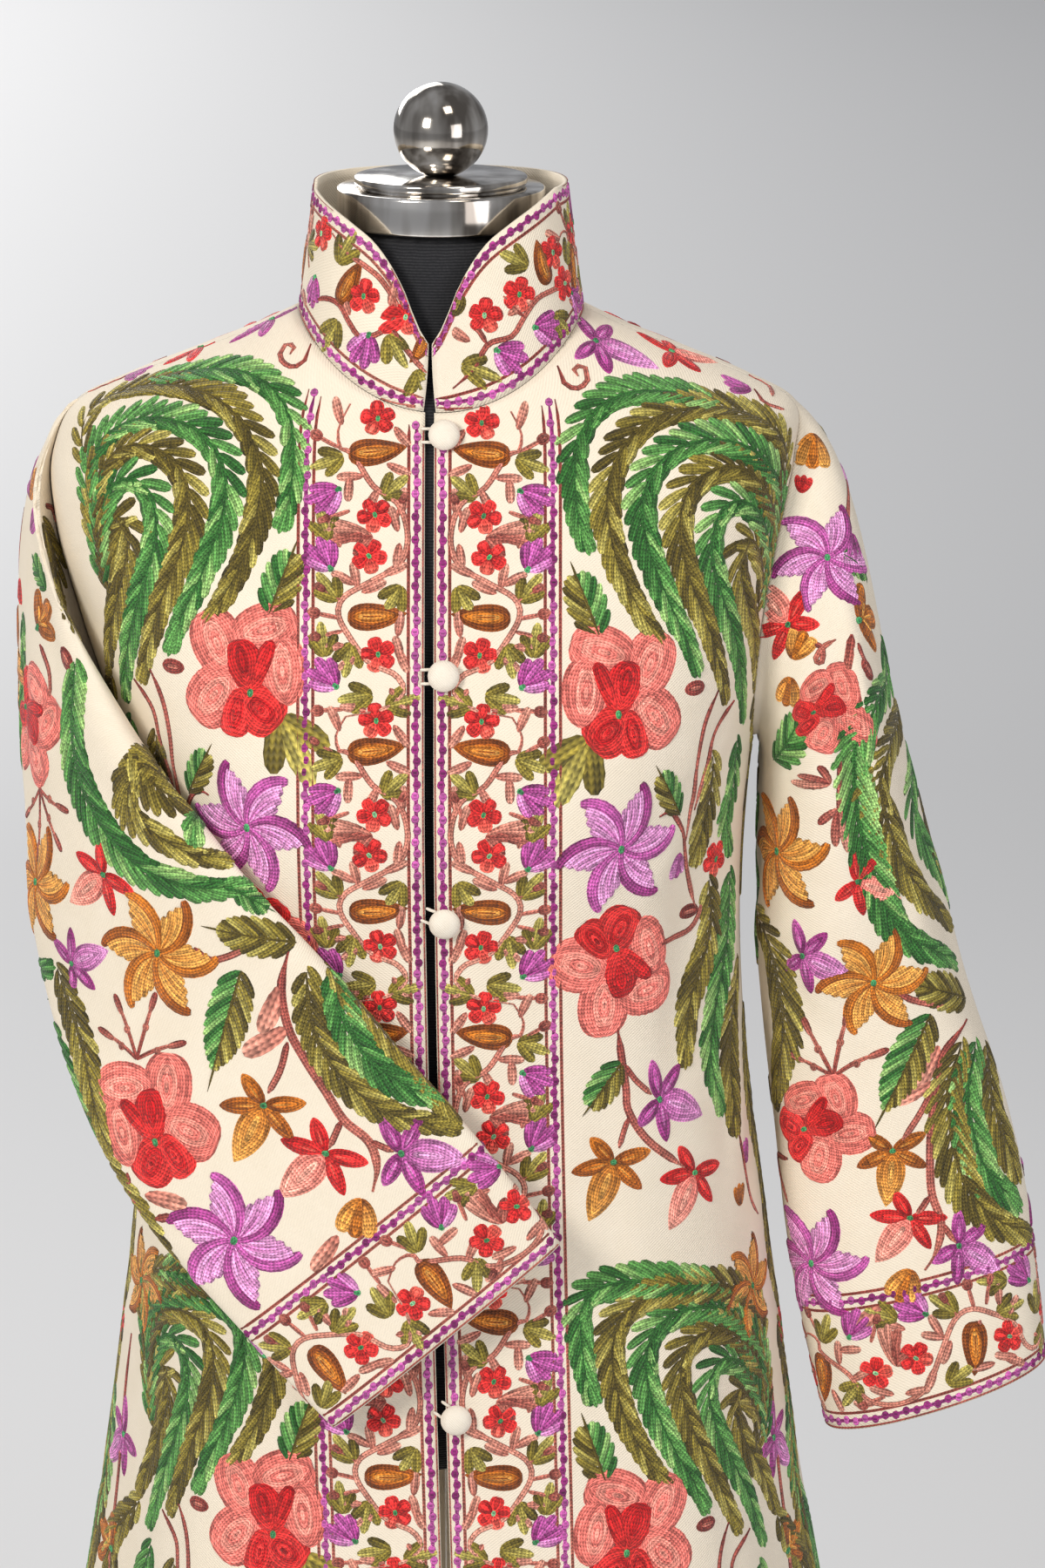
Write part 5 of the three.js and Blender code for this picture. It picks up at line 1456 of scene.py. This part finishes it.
def on_chart(chart, layout):
    """A layout's pixels as s and t on a chart."""
    return Layout(
        [(m, chart.at_pixel([(m.x, m.y)])) for m in layout.motifs],
        [(m, chart.at_pixel(m.spots)) for m in layout.stems],
        [(m, chart.at_pixel(m.spots)) for m in layout.garlands],
    )


def as_written(layout):
    """A layout whose places are s and t already."""
    return Layout(
        [(m, np.array([(m.x, m.y)], float)) for m in layout.motifs],
        [(m, np.array(m.spots, float)) for m in layout.stems],
        [(m, np.array(m.spots, float)) for m in layout.garlands],
    )


def lay(work, charted, move, flip=1):
    """Lays a charted layout. move takes spots to where they go; flip -1 mirrors them about s = 0."""
    for g, spots in charted.garlands:
        frond(work, move(spots), DYES[g.dye], g.leaf, flip)
    for stem, spots in charted.stems:
        strand(work, move(spots) * [flip, 1], stem.wide * STEM_WIDEN, (MAUVE.dark, MAUVE.middle), 0.65)
    for m, spots in charted.motifs:
        s, t = move(spots)[0]
        if t < work.chart.length - HEM_CLEAR:
            MOTIFS[m.kind](Pen(work, s, t, m.turn, m.size, flip), DYES[m.dye])


# Materials

class Look:
    """A material, with short ways to add its nodes."""

    def __init__(self, name):
        self.material = bpy.data.materials.new(name)
        self.material.use_nodes = True
        self.tree = self.material.node_tree
        self.shader = self.tree.nodes["Principled BSDF"]

    def add(self, kind, values=()):
        node = self.tree.nodes.new("ShaderNode" + kind)
        for name, value in dict(values).items():
            self.feed(node.inputs[name], value)
        return node

    def feed(self, socket, value):
        """Sets a socket, or joins it to the one that its value comes from."""
        if isinstance(value, bpy.types.NodeSocket):
            self.tree.links.new(value, socket)
        else:
            socket.default_value = value

    def math(self, kind, *values):
        node = self.add("Math")
        node.operation = kind
        for number, value in enumerate(values):
            self.feed(node.inputs[number], value)
        return node.outputs[0]

    def times(self, first, second):
        return self.math("MULTIPLY", first, second)

    def line(self, value, slope, rest):
        return self.math("MULTIPLY_ADD", value, slope, rest)

    def from_middle(self, place):
        """How far a place is from the middle of its cell."""
        return self.math("ABSOLUTE", self.math("SUBTRACT", self.math("FRACT", place), 0.5))

    def mix(self, kind, factor, first, second):
        node = self.add("Mix")
        node.data_type = "RGBA"
        node.blend_type = kind
        for number, value in ((0, factor), (6, first), (7, second)):
            self.feed(node.inputs[number], value)
        return node.outputs[2]

    def shaded(self, colour, tone):
        grey = self.add("CombineColor", enumerate([tone] * 3))
        return self.mix("MULTIPLY", 1.0, colour, grey.outputs[0])

    def noise(self, where, scale, detail=2.0):
        return self.add("TexNoise", {"Vector": where, "Scale": scale, "Detail": detail}).outputs["Fac"]

    def spot(self, *values):
        return self.add("CombineXYZ", enumerate(values)).outputs[0]

    def split(self, where):
        return self.add("SeparateXYZ", {0: where}).outputs

    def stitch_map(self):
        """The UV map in millimetres, and its two parts."""
        uv = self.add("UVMap")
        uv.uv_map = "stitch"
        return uv.outputs["UV"], *self.split(uv.outputs["UV"])[:2]

    def place(self):
        return self.add("TexCoord").outputs["Object"]

    def finish(self, colour, height, strength, distance, **constants):
        """Joins the colour and the relief, and sets the shader's constants."""
        relief = self.add("Bump", {"Strength": strength, "Distance": distance, "Height": height})
        self.feed(self.shader.inputs["Base Color"], colour)
        self.feed(self.shader.inputs["Normal"], relief.outputs["Normal"])
        for name, value in constants.items():
            self.shader.inputs[SHADER_SOCKETS[name]].default_value = value
        return self.material


SHADER_SOCKETS = {"rough": "Roughness", "sheen": "Sheen Weight", "specular": "Specular IOR Level"}
STITCH_ROW = 1.6


def thread_material():
    """Chain stitch: rows of V-shaped links, each row and stitch a little lighter or darker at random, with a
    painted highlight on the links' crowns and painted shade in the grooves between links and rows.
    """
    look = Look("chain_stitch_thread")
    along, over = look.stitch_map()[1:]
    dye = look.add("Attribute")
    dye.attribute_name = "thread"
    row = look.math("DIVIDE", over, STITCH_ROW)
    ridge = look.from_middle(row)
    link_place = look.line(along, 0.46, look.times(ridge, 0.9))
    link = look.from_middle(link_place)
    height = look.line(link, 1.2, look.math("SUBTRACT", 1.0, look.times(ridge, 1.8)))
    row_number = look.times(look.math("FLOOR", row), 3.7)
    stitch_number = look.times(look.math("FLOOR", link_place), 2.3)
    streak = look.noise(look.spot(look.times(along, 0.06), row_number), 1.0, 0.0)
    speckle = look.noise(look.spot(stitch_number, row_number), 1.0, 0.0)
    # Painted highlight and shade: the thread's colour is lightened where the stitch relief is high and
    # darkened where it is low.
    painted_relief_light = look.line(height, 0.88, 0.24)
    tone = look.times(look.times(painted_relief_light, look.line(speckle, 1.7, 0.2)), look.line(streak, 1.5, 0.3))
    colour = look.shaded(dye.outputs["Color"], tone)
    return look.finish(colour, height, 1.0, 0.0006, rough=0.62, sheen=0.12, specular=0.35)


def cloth_material():
    """Cream cotton twill: fine slanting lines, slubs and a faint unevenness of colour, with painted shade
    that follows the weave's relief.
    """
    look = Look("cream_twill")
    uv, across, down = look.stitch_map()
    slant = look.math("ADD", across, look.times(down, 1.4))
    line = look.math("SINE", look.times(slant, 2.6))
    thread = look.math("SINE", look.times(down, 5.2))
    mottle = look.noise(uv, 0.05, 4.0)
    height = look.line(look.noise(uv, 0.9), 1.6, look.line(thread, 0.35, line))
    colour = look.mix("MIX", mottle, (0.80, 0.70, 0.55, 1), (0.88, 0.785, 0.645, 1))
    # Painted shade: the cream is a little darker in the weave's grooves and lighter on its lines and slubs.
    colour = look.shaded(colour, look.line(height, 0.025, 0.96))
    return look.finish(colour, height, 0.35, 0.00025, rough=0.86, sheen=0.08, specular=0.25)


def button_material():
    """The same cotton, stretched over a button: a fine even twill."""
    look = Look("button_cotton")
    place = look.place()
    split = look.split(place)
    line = look.math("SINE", look.times(look.math("ADD", split[0], split[2]), 4200.0))
    mottle = look.noise(place, 220.0, 3.0)
    colour = look.mix("MIX", mottle, (0.76, 0.68, 0.56, 1), (0.86, 0.79, 0.68, 1))
    return look.finish(colour, look.line(mottle, 1.4, line), 0.3, 0.0002, rough=0.8, sheen=0.1)


def jersey_material():
    """Black jersey with fine ribs that run round the form, painted lighter on their crests and darker between
    them.
    """
    look = Look("black_jersey")
    place = look.place()
    rib = look.math("SINE", look.times(look.split(place)[2], 3900.0))
    # Painted shade: the black is lighter on the ribs' crests and darker between them, times a random lint.
    tone = look.times(look.line(rib, 0.25, 0.4), look.noise(place, 900.0, 3.0))
    colour = look.mix("MIX", tone, (0.006, 0.006, 0.008, 1), (0.075, 0.075, 0.08, 1))
    return look.finish(colour, rib, 0.5, 0.0003, rough=0.9, sheen=0.15, specular=0.2)


def chrome_material():
    """Polished chrome: noise drawn out upright paints dark brown and pale bands into its colour as painted
    reflections, and changes its shine.
    """
    look = Look("polished_chrome")
    stretch = look.add("Mapping", {"Vector": look.place(), "Scale": (1, 1, 0.16)})
    painted_reflection_noise = look.noise(stretch.outputs[0], 46.0, 3.0)
    ramp = look.add("ValToRGB", {0: painted_reflection_noise})
    steps = ramp.color_ramp.elements
    steps.new(0.48)
    # Painted reflection: the base colour runs from dark brown to pale in upright bands, standing in for the
    # room mirrored in the chrome.
    painted_reflection_tones = [(0.36, (0.20, 0.175, 0.15, 1)), (0.48, (0.58, 0.54, 0.49, 1)), (0.62, (0.93, 0.90, 0.86, 1))]
    for number in (0, 2, 1):
        steps[number].position, steps[number].color = painted_reflection_tones[number]
    look.feed(look.shader.inputs["Base Color"], ramp.outputs[0])
    look.feed(look.shader.inputs["Roughness"], look.line(painted_reflection_noise, 0.14, 0.05))
    look.shader.inputs["Metallic"].default_value = 1.0
    return look.material


CLOTH_FINISH = cloth_material()
THREAD_FINISH = thread_material()
BUTTON_FINISH = button_material()
JERSEY_FINISH = jersey_material()
CHROME_FINISH = chrome_material()


def add_piece(piece, finish, replaces=()):
    piece.data.materials.clear()
    piece.data.materials.append(finish)
    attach(piece, "root")
    if replaces:
        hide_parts(*replaces)
    return piece


# The jacket's panels and their charts

FRONT_COLUMNS = 54
BACK_COLUMNS = 104
SLEEVE_CELLS = (116, 72)
COLLAR_CELLS = (14, 108)
side_front = np.pi / 2 - SEAM_ANGLE
side_back = np.pi / 2 + SEAM_ANGLE
left_hole = ARMHOLES[1]
right_hole = ARMHOLES[-1]
front_left_grid = body_panel(front_edge(PANEL_UPS, 1), side_front, 0, left_hole.front, FRONT_COLUMNS)
front_right_grid = body_panel(-side_front, front_edge(PANEL_UPS, -1), right_hole.front, 0, FRONT_COLUMNS)
front_right_grid = front_right_grid[:, ::-1]
back_grid = body_panel(side_back, 2 * np.pi - side_back, left_hole.back, right_hole.back, BACK_COLUMNS)
hanging_rows = sleeve_rows(1, HANGING_SLEEVE, HANGING_LEAVES, HANGING_CREASES, False)
folded_rows = sleeve_rows(-1, FOLDED_SLEEVE, FOLDED_LEAVES, FOLDED_CREASES, True)
hanging = sleeve_face(1, hanging_rows, FINE_HANGING, *SLEEVE_CELLS)
folded = sleeve_face(-1, folded_rows, FINE_FOLDED, *SLEEVE_CELLS)
collar_grid = collar_face(*COLLAR_CELLS)


def body_out(grid):
    """Whether a body panel's raw normals point away from the Z axis."""
    normals = grid_normals(grid, False)
    away = grid * [1, 1, 0]
    return 1 if np.sum(normals * away) > 0 else -1


def tube_out(grid):
    return outward_sign(grid, grid_normals(grid, True))


CHARTS = {
    "front_left": Chart(front_left_grid, body_out(front_left_grid)),
    "front_right": Chart(front_right_grid, body_out(front_right_grid), hand=-1),
    "back": Chart(back_grid, body_out(back_grid), middle=BACK_COLUMNS // 2),
    "sleeve_left": Chart(hanging, tube_out(hanging), middle=SLEEVE_CELLS[1] // 2, wrapped=True),
    "sleeve_right": Chart(folded, tube_out(folded), middle=SLEEVE_CELLS[1] // 2, wrapped=True),
    "collar": Chart(collar_grid, body_out(collar_grid), middle=COLLAR_CELLS[1] // 2),
}


def make_cloth():
    made = {}
    for node, chart in CHARTS.items():
        made[node] = add_piece(shell_mesh(node + "_cloth", chart), CLOTH_FINISH, [node])
    return made


def finish_stitching(work, node):
    return add_piece(work.mesh(node + "_embroidery"), THREAD_FINISH)


def hem_trim(work):
    t = work.chart.length - HEM_TRIM_UP
    low, high = work.chart.limits(t)
    trim(work, [(s, t) for s in np.linspace(low + 2, high - 2, 16)])


def stay(places):
    """The places, unchanged."""
    return places


def from_seam(chart):
    return lambda spots: spots + np.stack([chart.limits(spots[:, 1])[1], np.zeros(len(spots))], -1)


def stitch_fronts():
    """The two fronts: the band beside the opening, the shoulder, the field twice over, the skirt's
    sides, the garlands at the side seam and the hem's trim."""
    made = []
    for node in ("front_left", "front_right"):
        chart = CHARTS[node]
        work = Stitching(chart)
        turned = stay if node == "front_left" else other_front
        band(work, lambda across, down: (across, down + BAND_FROM), 0, chart.length - BAND_SHORT)
        lay(work, on_chart(chart, turned(SHOULDER)), stay)
        field = on_chart(chart, turned(FIELD))
        for n in range(2):
            lay(work, field, lambda spots: spots + [0, n * FIELD_REPEAT])
        lay(work, as_written(SIDE), stay)
        lay(work, as_written(SEAM_RUN), from_seam(chart))
        hem_trim(work)
        made.append(finish_stitching(work, node))
    return made


# How far the front's layouts move on the back: their shoulder, their field and the skirt's sides
BACK_SHOULDER = (-52, 8)
BACK_FIELD = (-57, 40)
BACK_SIDE = (-40, 50)


def stitch_back():
    """The back: its middle, and the left front's layouts on each side of it."""
    work = Stitching(CHARTS["back"])
    field = on_chart(CHARTS["front_left"], FIELD)
    shoulder = on_chart(CHARTS["front_left"], SHOULDER)
    side = as_written(SIDE)
    lay(work, as_written(SPINE), stay)
    for flip in (1, -1):
        lay(work, shoulder, lambda spots: spots + BACK_SHOULDER, flip)
        for n in range(2):
            lay(work, field, lambda spots: spots + BACK_FIELD + [0, n * FIELD_REPEAT], flip)
        lay(work, side, lambda spots: spots + BACK_SIDE, flip)
        lay(work, as_written(SEAM_RUN), from_seam(work.chart), flip)
    hem_trim(work)
    return [finish_stitching(work, "back")]


UNDER_HEAD = 150


def shown_behind(chart, charted):
    """A layout moved half a turn round a sleeve, without what would come round to the front."""
    def moved(entries):
        kept = []
        for entry, spots in entries:
            spots = chart.behind(spots)
            low, high = chart.limits(spots[:, 1].mean())
            spots = spots - [round(spots[:, 0].mean() / (high - low)) * (high - low), 0]
            if spots[:, 0].max() < -16 and spots[:, 1].min() > UNDER_HEAD:
                kept.append((entry, spots))
        return kept

    return Layout(moved(charted.motifs), moved(charted.stems), moved(charted.garlands))


def stitch_sleeves():
    """The sleeves: their heads, what shows, what fits of it half a turn round, and the cuff's band."""
    made = []
    for node, layout, way in (("sleeve_left", HANGING, -1), ("sleeve_right", FOLDED, 1)):
        chart = CHARTS[node]
        work = Stitching(chart)
        charted = on_chart(chart, layout)
        lay(work, as_written(SLEEVE_HEAD), stay)
        lay(work, shown_behind(chart, charted), stay)
        lay(work, charted, stay)
        low, high = chart.limits(chart.length - CUFF_MIDDLE_UP)
        around = (high - low) / (2 * BAND_REPEAT)

        def place(across, down):
            s = way * (down * around - (high - low) / 2)
            return s, chart.length - CUFF_TRIM_UP - (across - CUFF_TRIM_ACROSS) * CUFF_WIDEN

        band(work, place, -90, 2 * BAND_REPEAT, True)
        made.append(finish_stitching(work, node))
    return made


COLLAR_MARKS = 40  # places along each trim of the collar


def stitch_collar():
    """The collar: its front as it shows, the band's motifs round the back, and trims at both edges."""
    chart = CHARTS["collar"]
    work = Stitching(chart)
    lay(work, on_chart(chart, COLLAR), stay)
    reach = 150.0
    scale = chart.length / 64

    def place(across, down):
        return down - reach, chart.length - (across - 2) * scale

    for n in range(2):
        start = n * BAND_REPEAT
        stem = [place(a, start + d) for a, d in BAND_STEM if start + d < 2 * reach]
        strand(work, stem, 3.2, (MAUVE.middle, MAUVE.light), 0.65)
        for m in BAND:
            if start + m.down < 2 * reach - 10:
                s, t = place(m.across, start + m.down)
                MOTIFS[m.kind](Pen(work, s, t, m.turn - 90), DYES[m.dye])
    tall = np.linalg.norm(np.diff(chart.grid, axis=0), axis=2).sum(axis=0)
    for from_top in (True, False):
        spots = []
        for j in np.linspace(0, chart.grid.shape[1] - 1, COLLAR_MARKS).astype(int):
            share = BAND_TRIMS[0] / tall[j]
            row = share if from_top else 1 - share
            s = chart.s[int(round(row * (len(chart.s) - 1))), j]
            spots.append((s, row * chart.length))
        trim(work, spots)
    return [finish_stitching(work, "collar")]


cloth_pieces = make_cloth()
threads = stitch_fronts() + stitch_back() + stitch_sleeves() + stitch_collar()


# Hard pieces

def pick(*pieces):
    """Selects pieces and nothing else, and makes the first one active."""
    bpy.ops.object.select_all(action="DESELECT")
    for piece in pieces:
        piece.select_set(True)
    bpy.context.view_layer.objects.active = pieces[0]


def apply_place(piece):
    pick(piece)
    bpy.ops.object.transform_apply(location=True, rotation=True, scale=True)


def apply_modifier(piece, kind, **settings):
    modifier = piece.modifiers.new(kind.lower(), kind)
    for key, value in settings.items():
        setattr(modifier, key, value)
    pick(piece)
    bpy.ops.object.modifier_apply(modifier=modifier.name)


def smooth_by_angle(piece):
    pick(piece)
    bpy.ops.object.shade_smooth_by_angle(angle=math.radians(35))


def keep_above(piece, z):
    """Cuts off what is below z and closes the cut."""
    pick(piece)
    bpy.ops.object.mode_set(mode="EDIT")
    bpy.ops.mesh.select_all(action="SELECT")
    bpy.ops.mesh.bisect(plane_co=(0, 0, z * MM), plane_no=(0, 0, 1), clear_inner=True, use_fill=True)
    bpy.ops.object.mode_set(mode="OBJECT")


def cylinder(name, radius, foot, tall, round_edge, sides=64, top=None):
    """An upright cylinder, or a cone with top as its upper radius."""
    if top is None:
        bpy.ops.mesh.primitive_cylinder_add(vertices=sides, radius=radius * MM, depth=tall * MM)
    else:
        bpy.ops.mesh.primitive_cone_add(vertices=sides, radius1=radius * MM, radius2=top * MM,
                                        depth=tall * MM)
    piece = bpy.context.object
    piece.name = name
    piece.location = (0, 0, (foot + tall / 2) * MM)
    apply_place(piece)
    if round_edge:
        apply_modifier(piece, "BEVEL", width=round_edge * MM, segments=4, limit_method="ANGLE")
    smooth_by_angle(piece)
    return piece


def ball(name, radius, z, sides, squash=1):
    bpy.ops.mesh.primitive_uv_sphere_add(segments=sides, ring_count=sides // 2, radius=radius * MM)
    piece = bpy.context.object
    piece.name = name
    piece.scale = (1, 1, squash)
    piece.location = (0, 0, z * MM)
    apply_place(piece)
    return piece


def join(name, pieces):
    pick(*pieces)
    bpy.ops.object.join()
    pieces[0].name = name
    smooth_by_angle(pieces[0])
    return pieces[0]


BUTTON_RADIUS = 8.8
SHANK_RADIUS = 2.4
SHANK_TALL = 3.2
BUTTON_DOME = 5.4
BUTTON_FROM_EDGE = 5.6
BUTTON_RIM_RADIUS = 7.9
BUTTON_RIM_WIRE = 0.75


def make_button(number, z):
    """A cloth-covered button on its shank, facing out of the front at its height."""
    dome = ball("dome", BUTTON_RADIUS, SHANK_TALL, 40, BUTTON_DOME / BUTTON_RADIUS)
    keep_above(dome, SHANK_TALL)
    apply_modifier(dome, "BEVEL", width=0.7 * MM, segments=3, limit_method="ANGLE")
    bpy.ops.mesh.primitive_torus_add(major_radius=BUTTON_RIM_RADIUS * MM, minor_radius=BUTTON_RIM_WIRE * MM,
                                     major_segments=40, minor_segments=8,
                                     location=(0, 0, (SHANK_TALL + 0.8) * MM))
    rim = bpy.context.object
    apply_place(rim)
    shank = cylinder("shank", SHANK_RADIUS, SEAM, SHANK_TALL - SEAM, 0, 20)
    piece = join("button_%d_cover" % number, [dome, rim, shank])
    up = np.interp(z, FRONT_HEIGHTS, UPS)
    x = opening_x(z) + OPENING.slit / 2 + BUTTON_FROM_EDGE
    r = ring_at(np.array([up]))[0]
    angle = math.asin(x / ((r[3] if x > 0 else r[4]) * (1 + SQUARENESS)))
    spot = body(np.array([up]), np.array([angle]))[0]
    out = body_normal(np.array([up]), np.array([angle]))[0]
    piece.rotation_euler = Vector(out).to_track_quat("Z", "Y").to_euler()
    piece.location = Vector(spot * MM)
    apply_place(piece)
    add_piece(piece, BUTTON_FINISH, ["button_%d" % number])


def make_copy(node, name, finish, levels):
    """A copy of a CAD solid, its corners joined and its faces smoothed."""
    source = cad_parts[node]
    piece = bpy.data.objects.new(name, source.data.copy())
    bpy.context.scene.collection.objects.link(piece)
    pick(piece)
    bpy.ops.object.mode_set(mode="EDIT")
    bpy.ops.mesh.select_all(action="SELECT")
    bpy.ops.mesh.remove_doubles(threshold=0.01 * MM)
    bpy.ops.mesh.normals_make_consistent(inside=False)
    bpy.ops.object.mode_set(mode="OBJECT")
    if levels:
        apply_modifier(piece, "SUBSURF", levels=levels, render_levels=levels)
    smooth_by_angle(piece)
    return add_piece(piece, finish, [node])


CAP_RADIUS = 58.5
CAP_TALL = 21
DISC_RADIUS = 48.5
DISC_TALL = 6
BALL_RADIUS = 26.5
BALL_FOOT = 9
POLE_RADIUS = 16
PLATE_TALL = 10
BASE_RADIUS = 175
FORM_FOOT_Z = 745
SOCKET_RADIUS = 26


def make_stand():
    """The form's torso, its chrome cap and ball, and the pole with its base."""
    make_copy("form_torso", "torso", JERSEY_FINISH, 1)
    ring = cylinder("ring", CAP_RADIUS, CAP_FOOT_Z, CAP_TALL, 1.6, 96)
    groove = cylinder("groove", DISC_RADIUS - 3, CAP_FOOT_Z + CAP_TALL - 1, 3, 0, 96)
    disc = cylinder("disc", DISC_RADIUS, CAP_FOOT_Z + CAP_TALL + 1.2, DISC_TALL - 1.2, 1.4, 96)
    add_piece(join("chrome_cap", [ring, groove, disc]), CHROME_FINISH, ["neck_cap"])
    ball_foot = CAP_FOOT_Z + CAP_TALL + DISC_TALL + SEAM
    top = ball("chrome_ball", BALL_RADIUS, ball_foot + math.sqrt(BALL_RADIUS**2 - BALL_FOOT**2), 80)
    keep_above(top, ball_foot)
    smooth_by_angle(top)
    add_piece(top, CHROME_FINISH, ["neck_ball"])
    pole_foot = PLATE_TALL + 2.4
    pole = cylinder("chrome_pole", POLE_RADIUS, pole_foot, FORM_FOOT_Z - SEAM - pole_foot, 0.6, 64)
    add_piece(pole, CHROME_FINISH, ["pole"])
    make_copy("pole_socket", "chrome_socket", CHROME_FINISH, 0)
    plate = cylinder("plate", BASE_RADIUS, 0, PLATE_TALL - 1, 2.0, 128)
    crown = cylinder("crown", BASE_RADIUS - 3, PLATE_TALL - 1.5, 3.5, 0, 128, top=SOCKET_RADIUS + 8)
    add_piece(join("chrome_base", [plate, crown]), CHROME_FINISH, ["base_plate"])


for index, height in enumerate(BUTTON_HEIGHTS):
    make_button(index + 1, height)
    make_copy("loop_%d" % (index + 1), "loop_%d_cord" % (index + 1), BUTTON_FINISH, 1)
make_stand()


# Stage and light

def make_stage():
    bpy.ops.mesh.primitive_plane_add(size=60, location=(0, 0, 0))
    floor = bpy.context.object
    floor.name = "floor"
    look = Look("pale_floor")
    look.shader.inputs["Base Color"].default_value = (0.72, 0.715, 0.71, 1)
    look.shader.inputs["Roughness"].default_value = 0.9
    floor.data.materials.append(look.material)
    world = bpy.data.worlds.new("studio")
    world.use_nodes = True
    background = world.node_tree.nodes["Background"]
    background.inputs["Color"].default_value = (0.93, 0.95, 1.0, 1)
    background.inputs["Strength"].default_value = 0.34
    bpy.context.scene.world = world


def make_light(name, place, aim, size, power, colour=(1, 1, 1)):
    data = bpy.data.lights.new(name, "AREA")
    data.shape = "RECTANGLE"
    data.size, data.size_y = size
    data.energy = power
    data.color = colour
    light = bpy.data.objects.new(name, data)
    bpy.context.scene.collection.objects.link(light)
    light.location = place
    light.rotation_euler = (Vector(aim) - Vector(place)).to_track_quat("-Z", "Y").to_euler()


make_stage()
bpy.context.scene.view_settings.view_transform = "Standard"
make_light("key", (-2.0, -2.8, 2.8), (0, 0, 1.1), (0.9, 1.2), 98, (1, 0.97, 0.92))
make_light("fill", (2.2, -2.6, 1.6), (0, 0, 1.0), (1.6, 1.8), 34, (0.97, 0.97, 1))
make_light("top", (0.5, -0.9, 2.9), (0, 0.05, 1.45), (0.5, 0.5), 8, (1, 0.95, 0.87))
make_light("rear", (-0.8, 2.4, 2.6), (0, 0, 1.1), (1.6, 1.6), 26)
make_light("backdrop", (-2.8, 11, 2.6), (-0.6, 11, 0), (16, 1.2), 320)
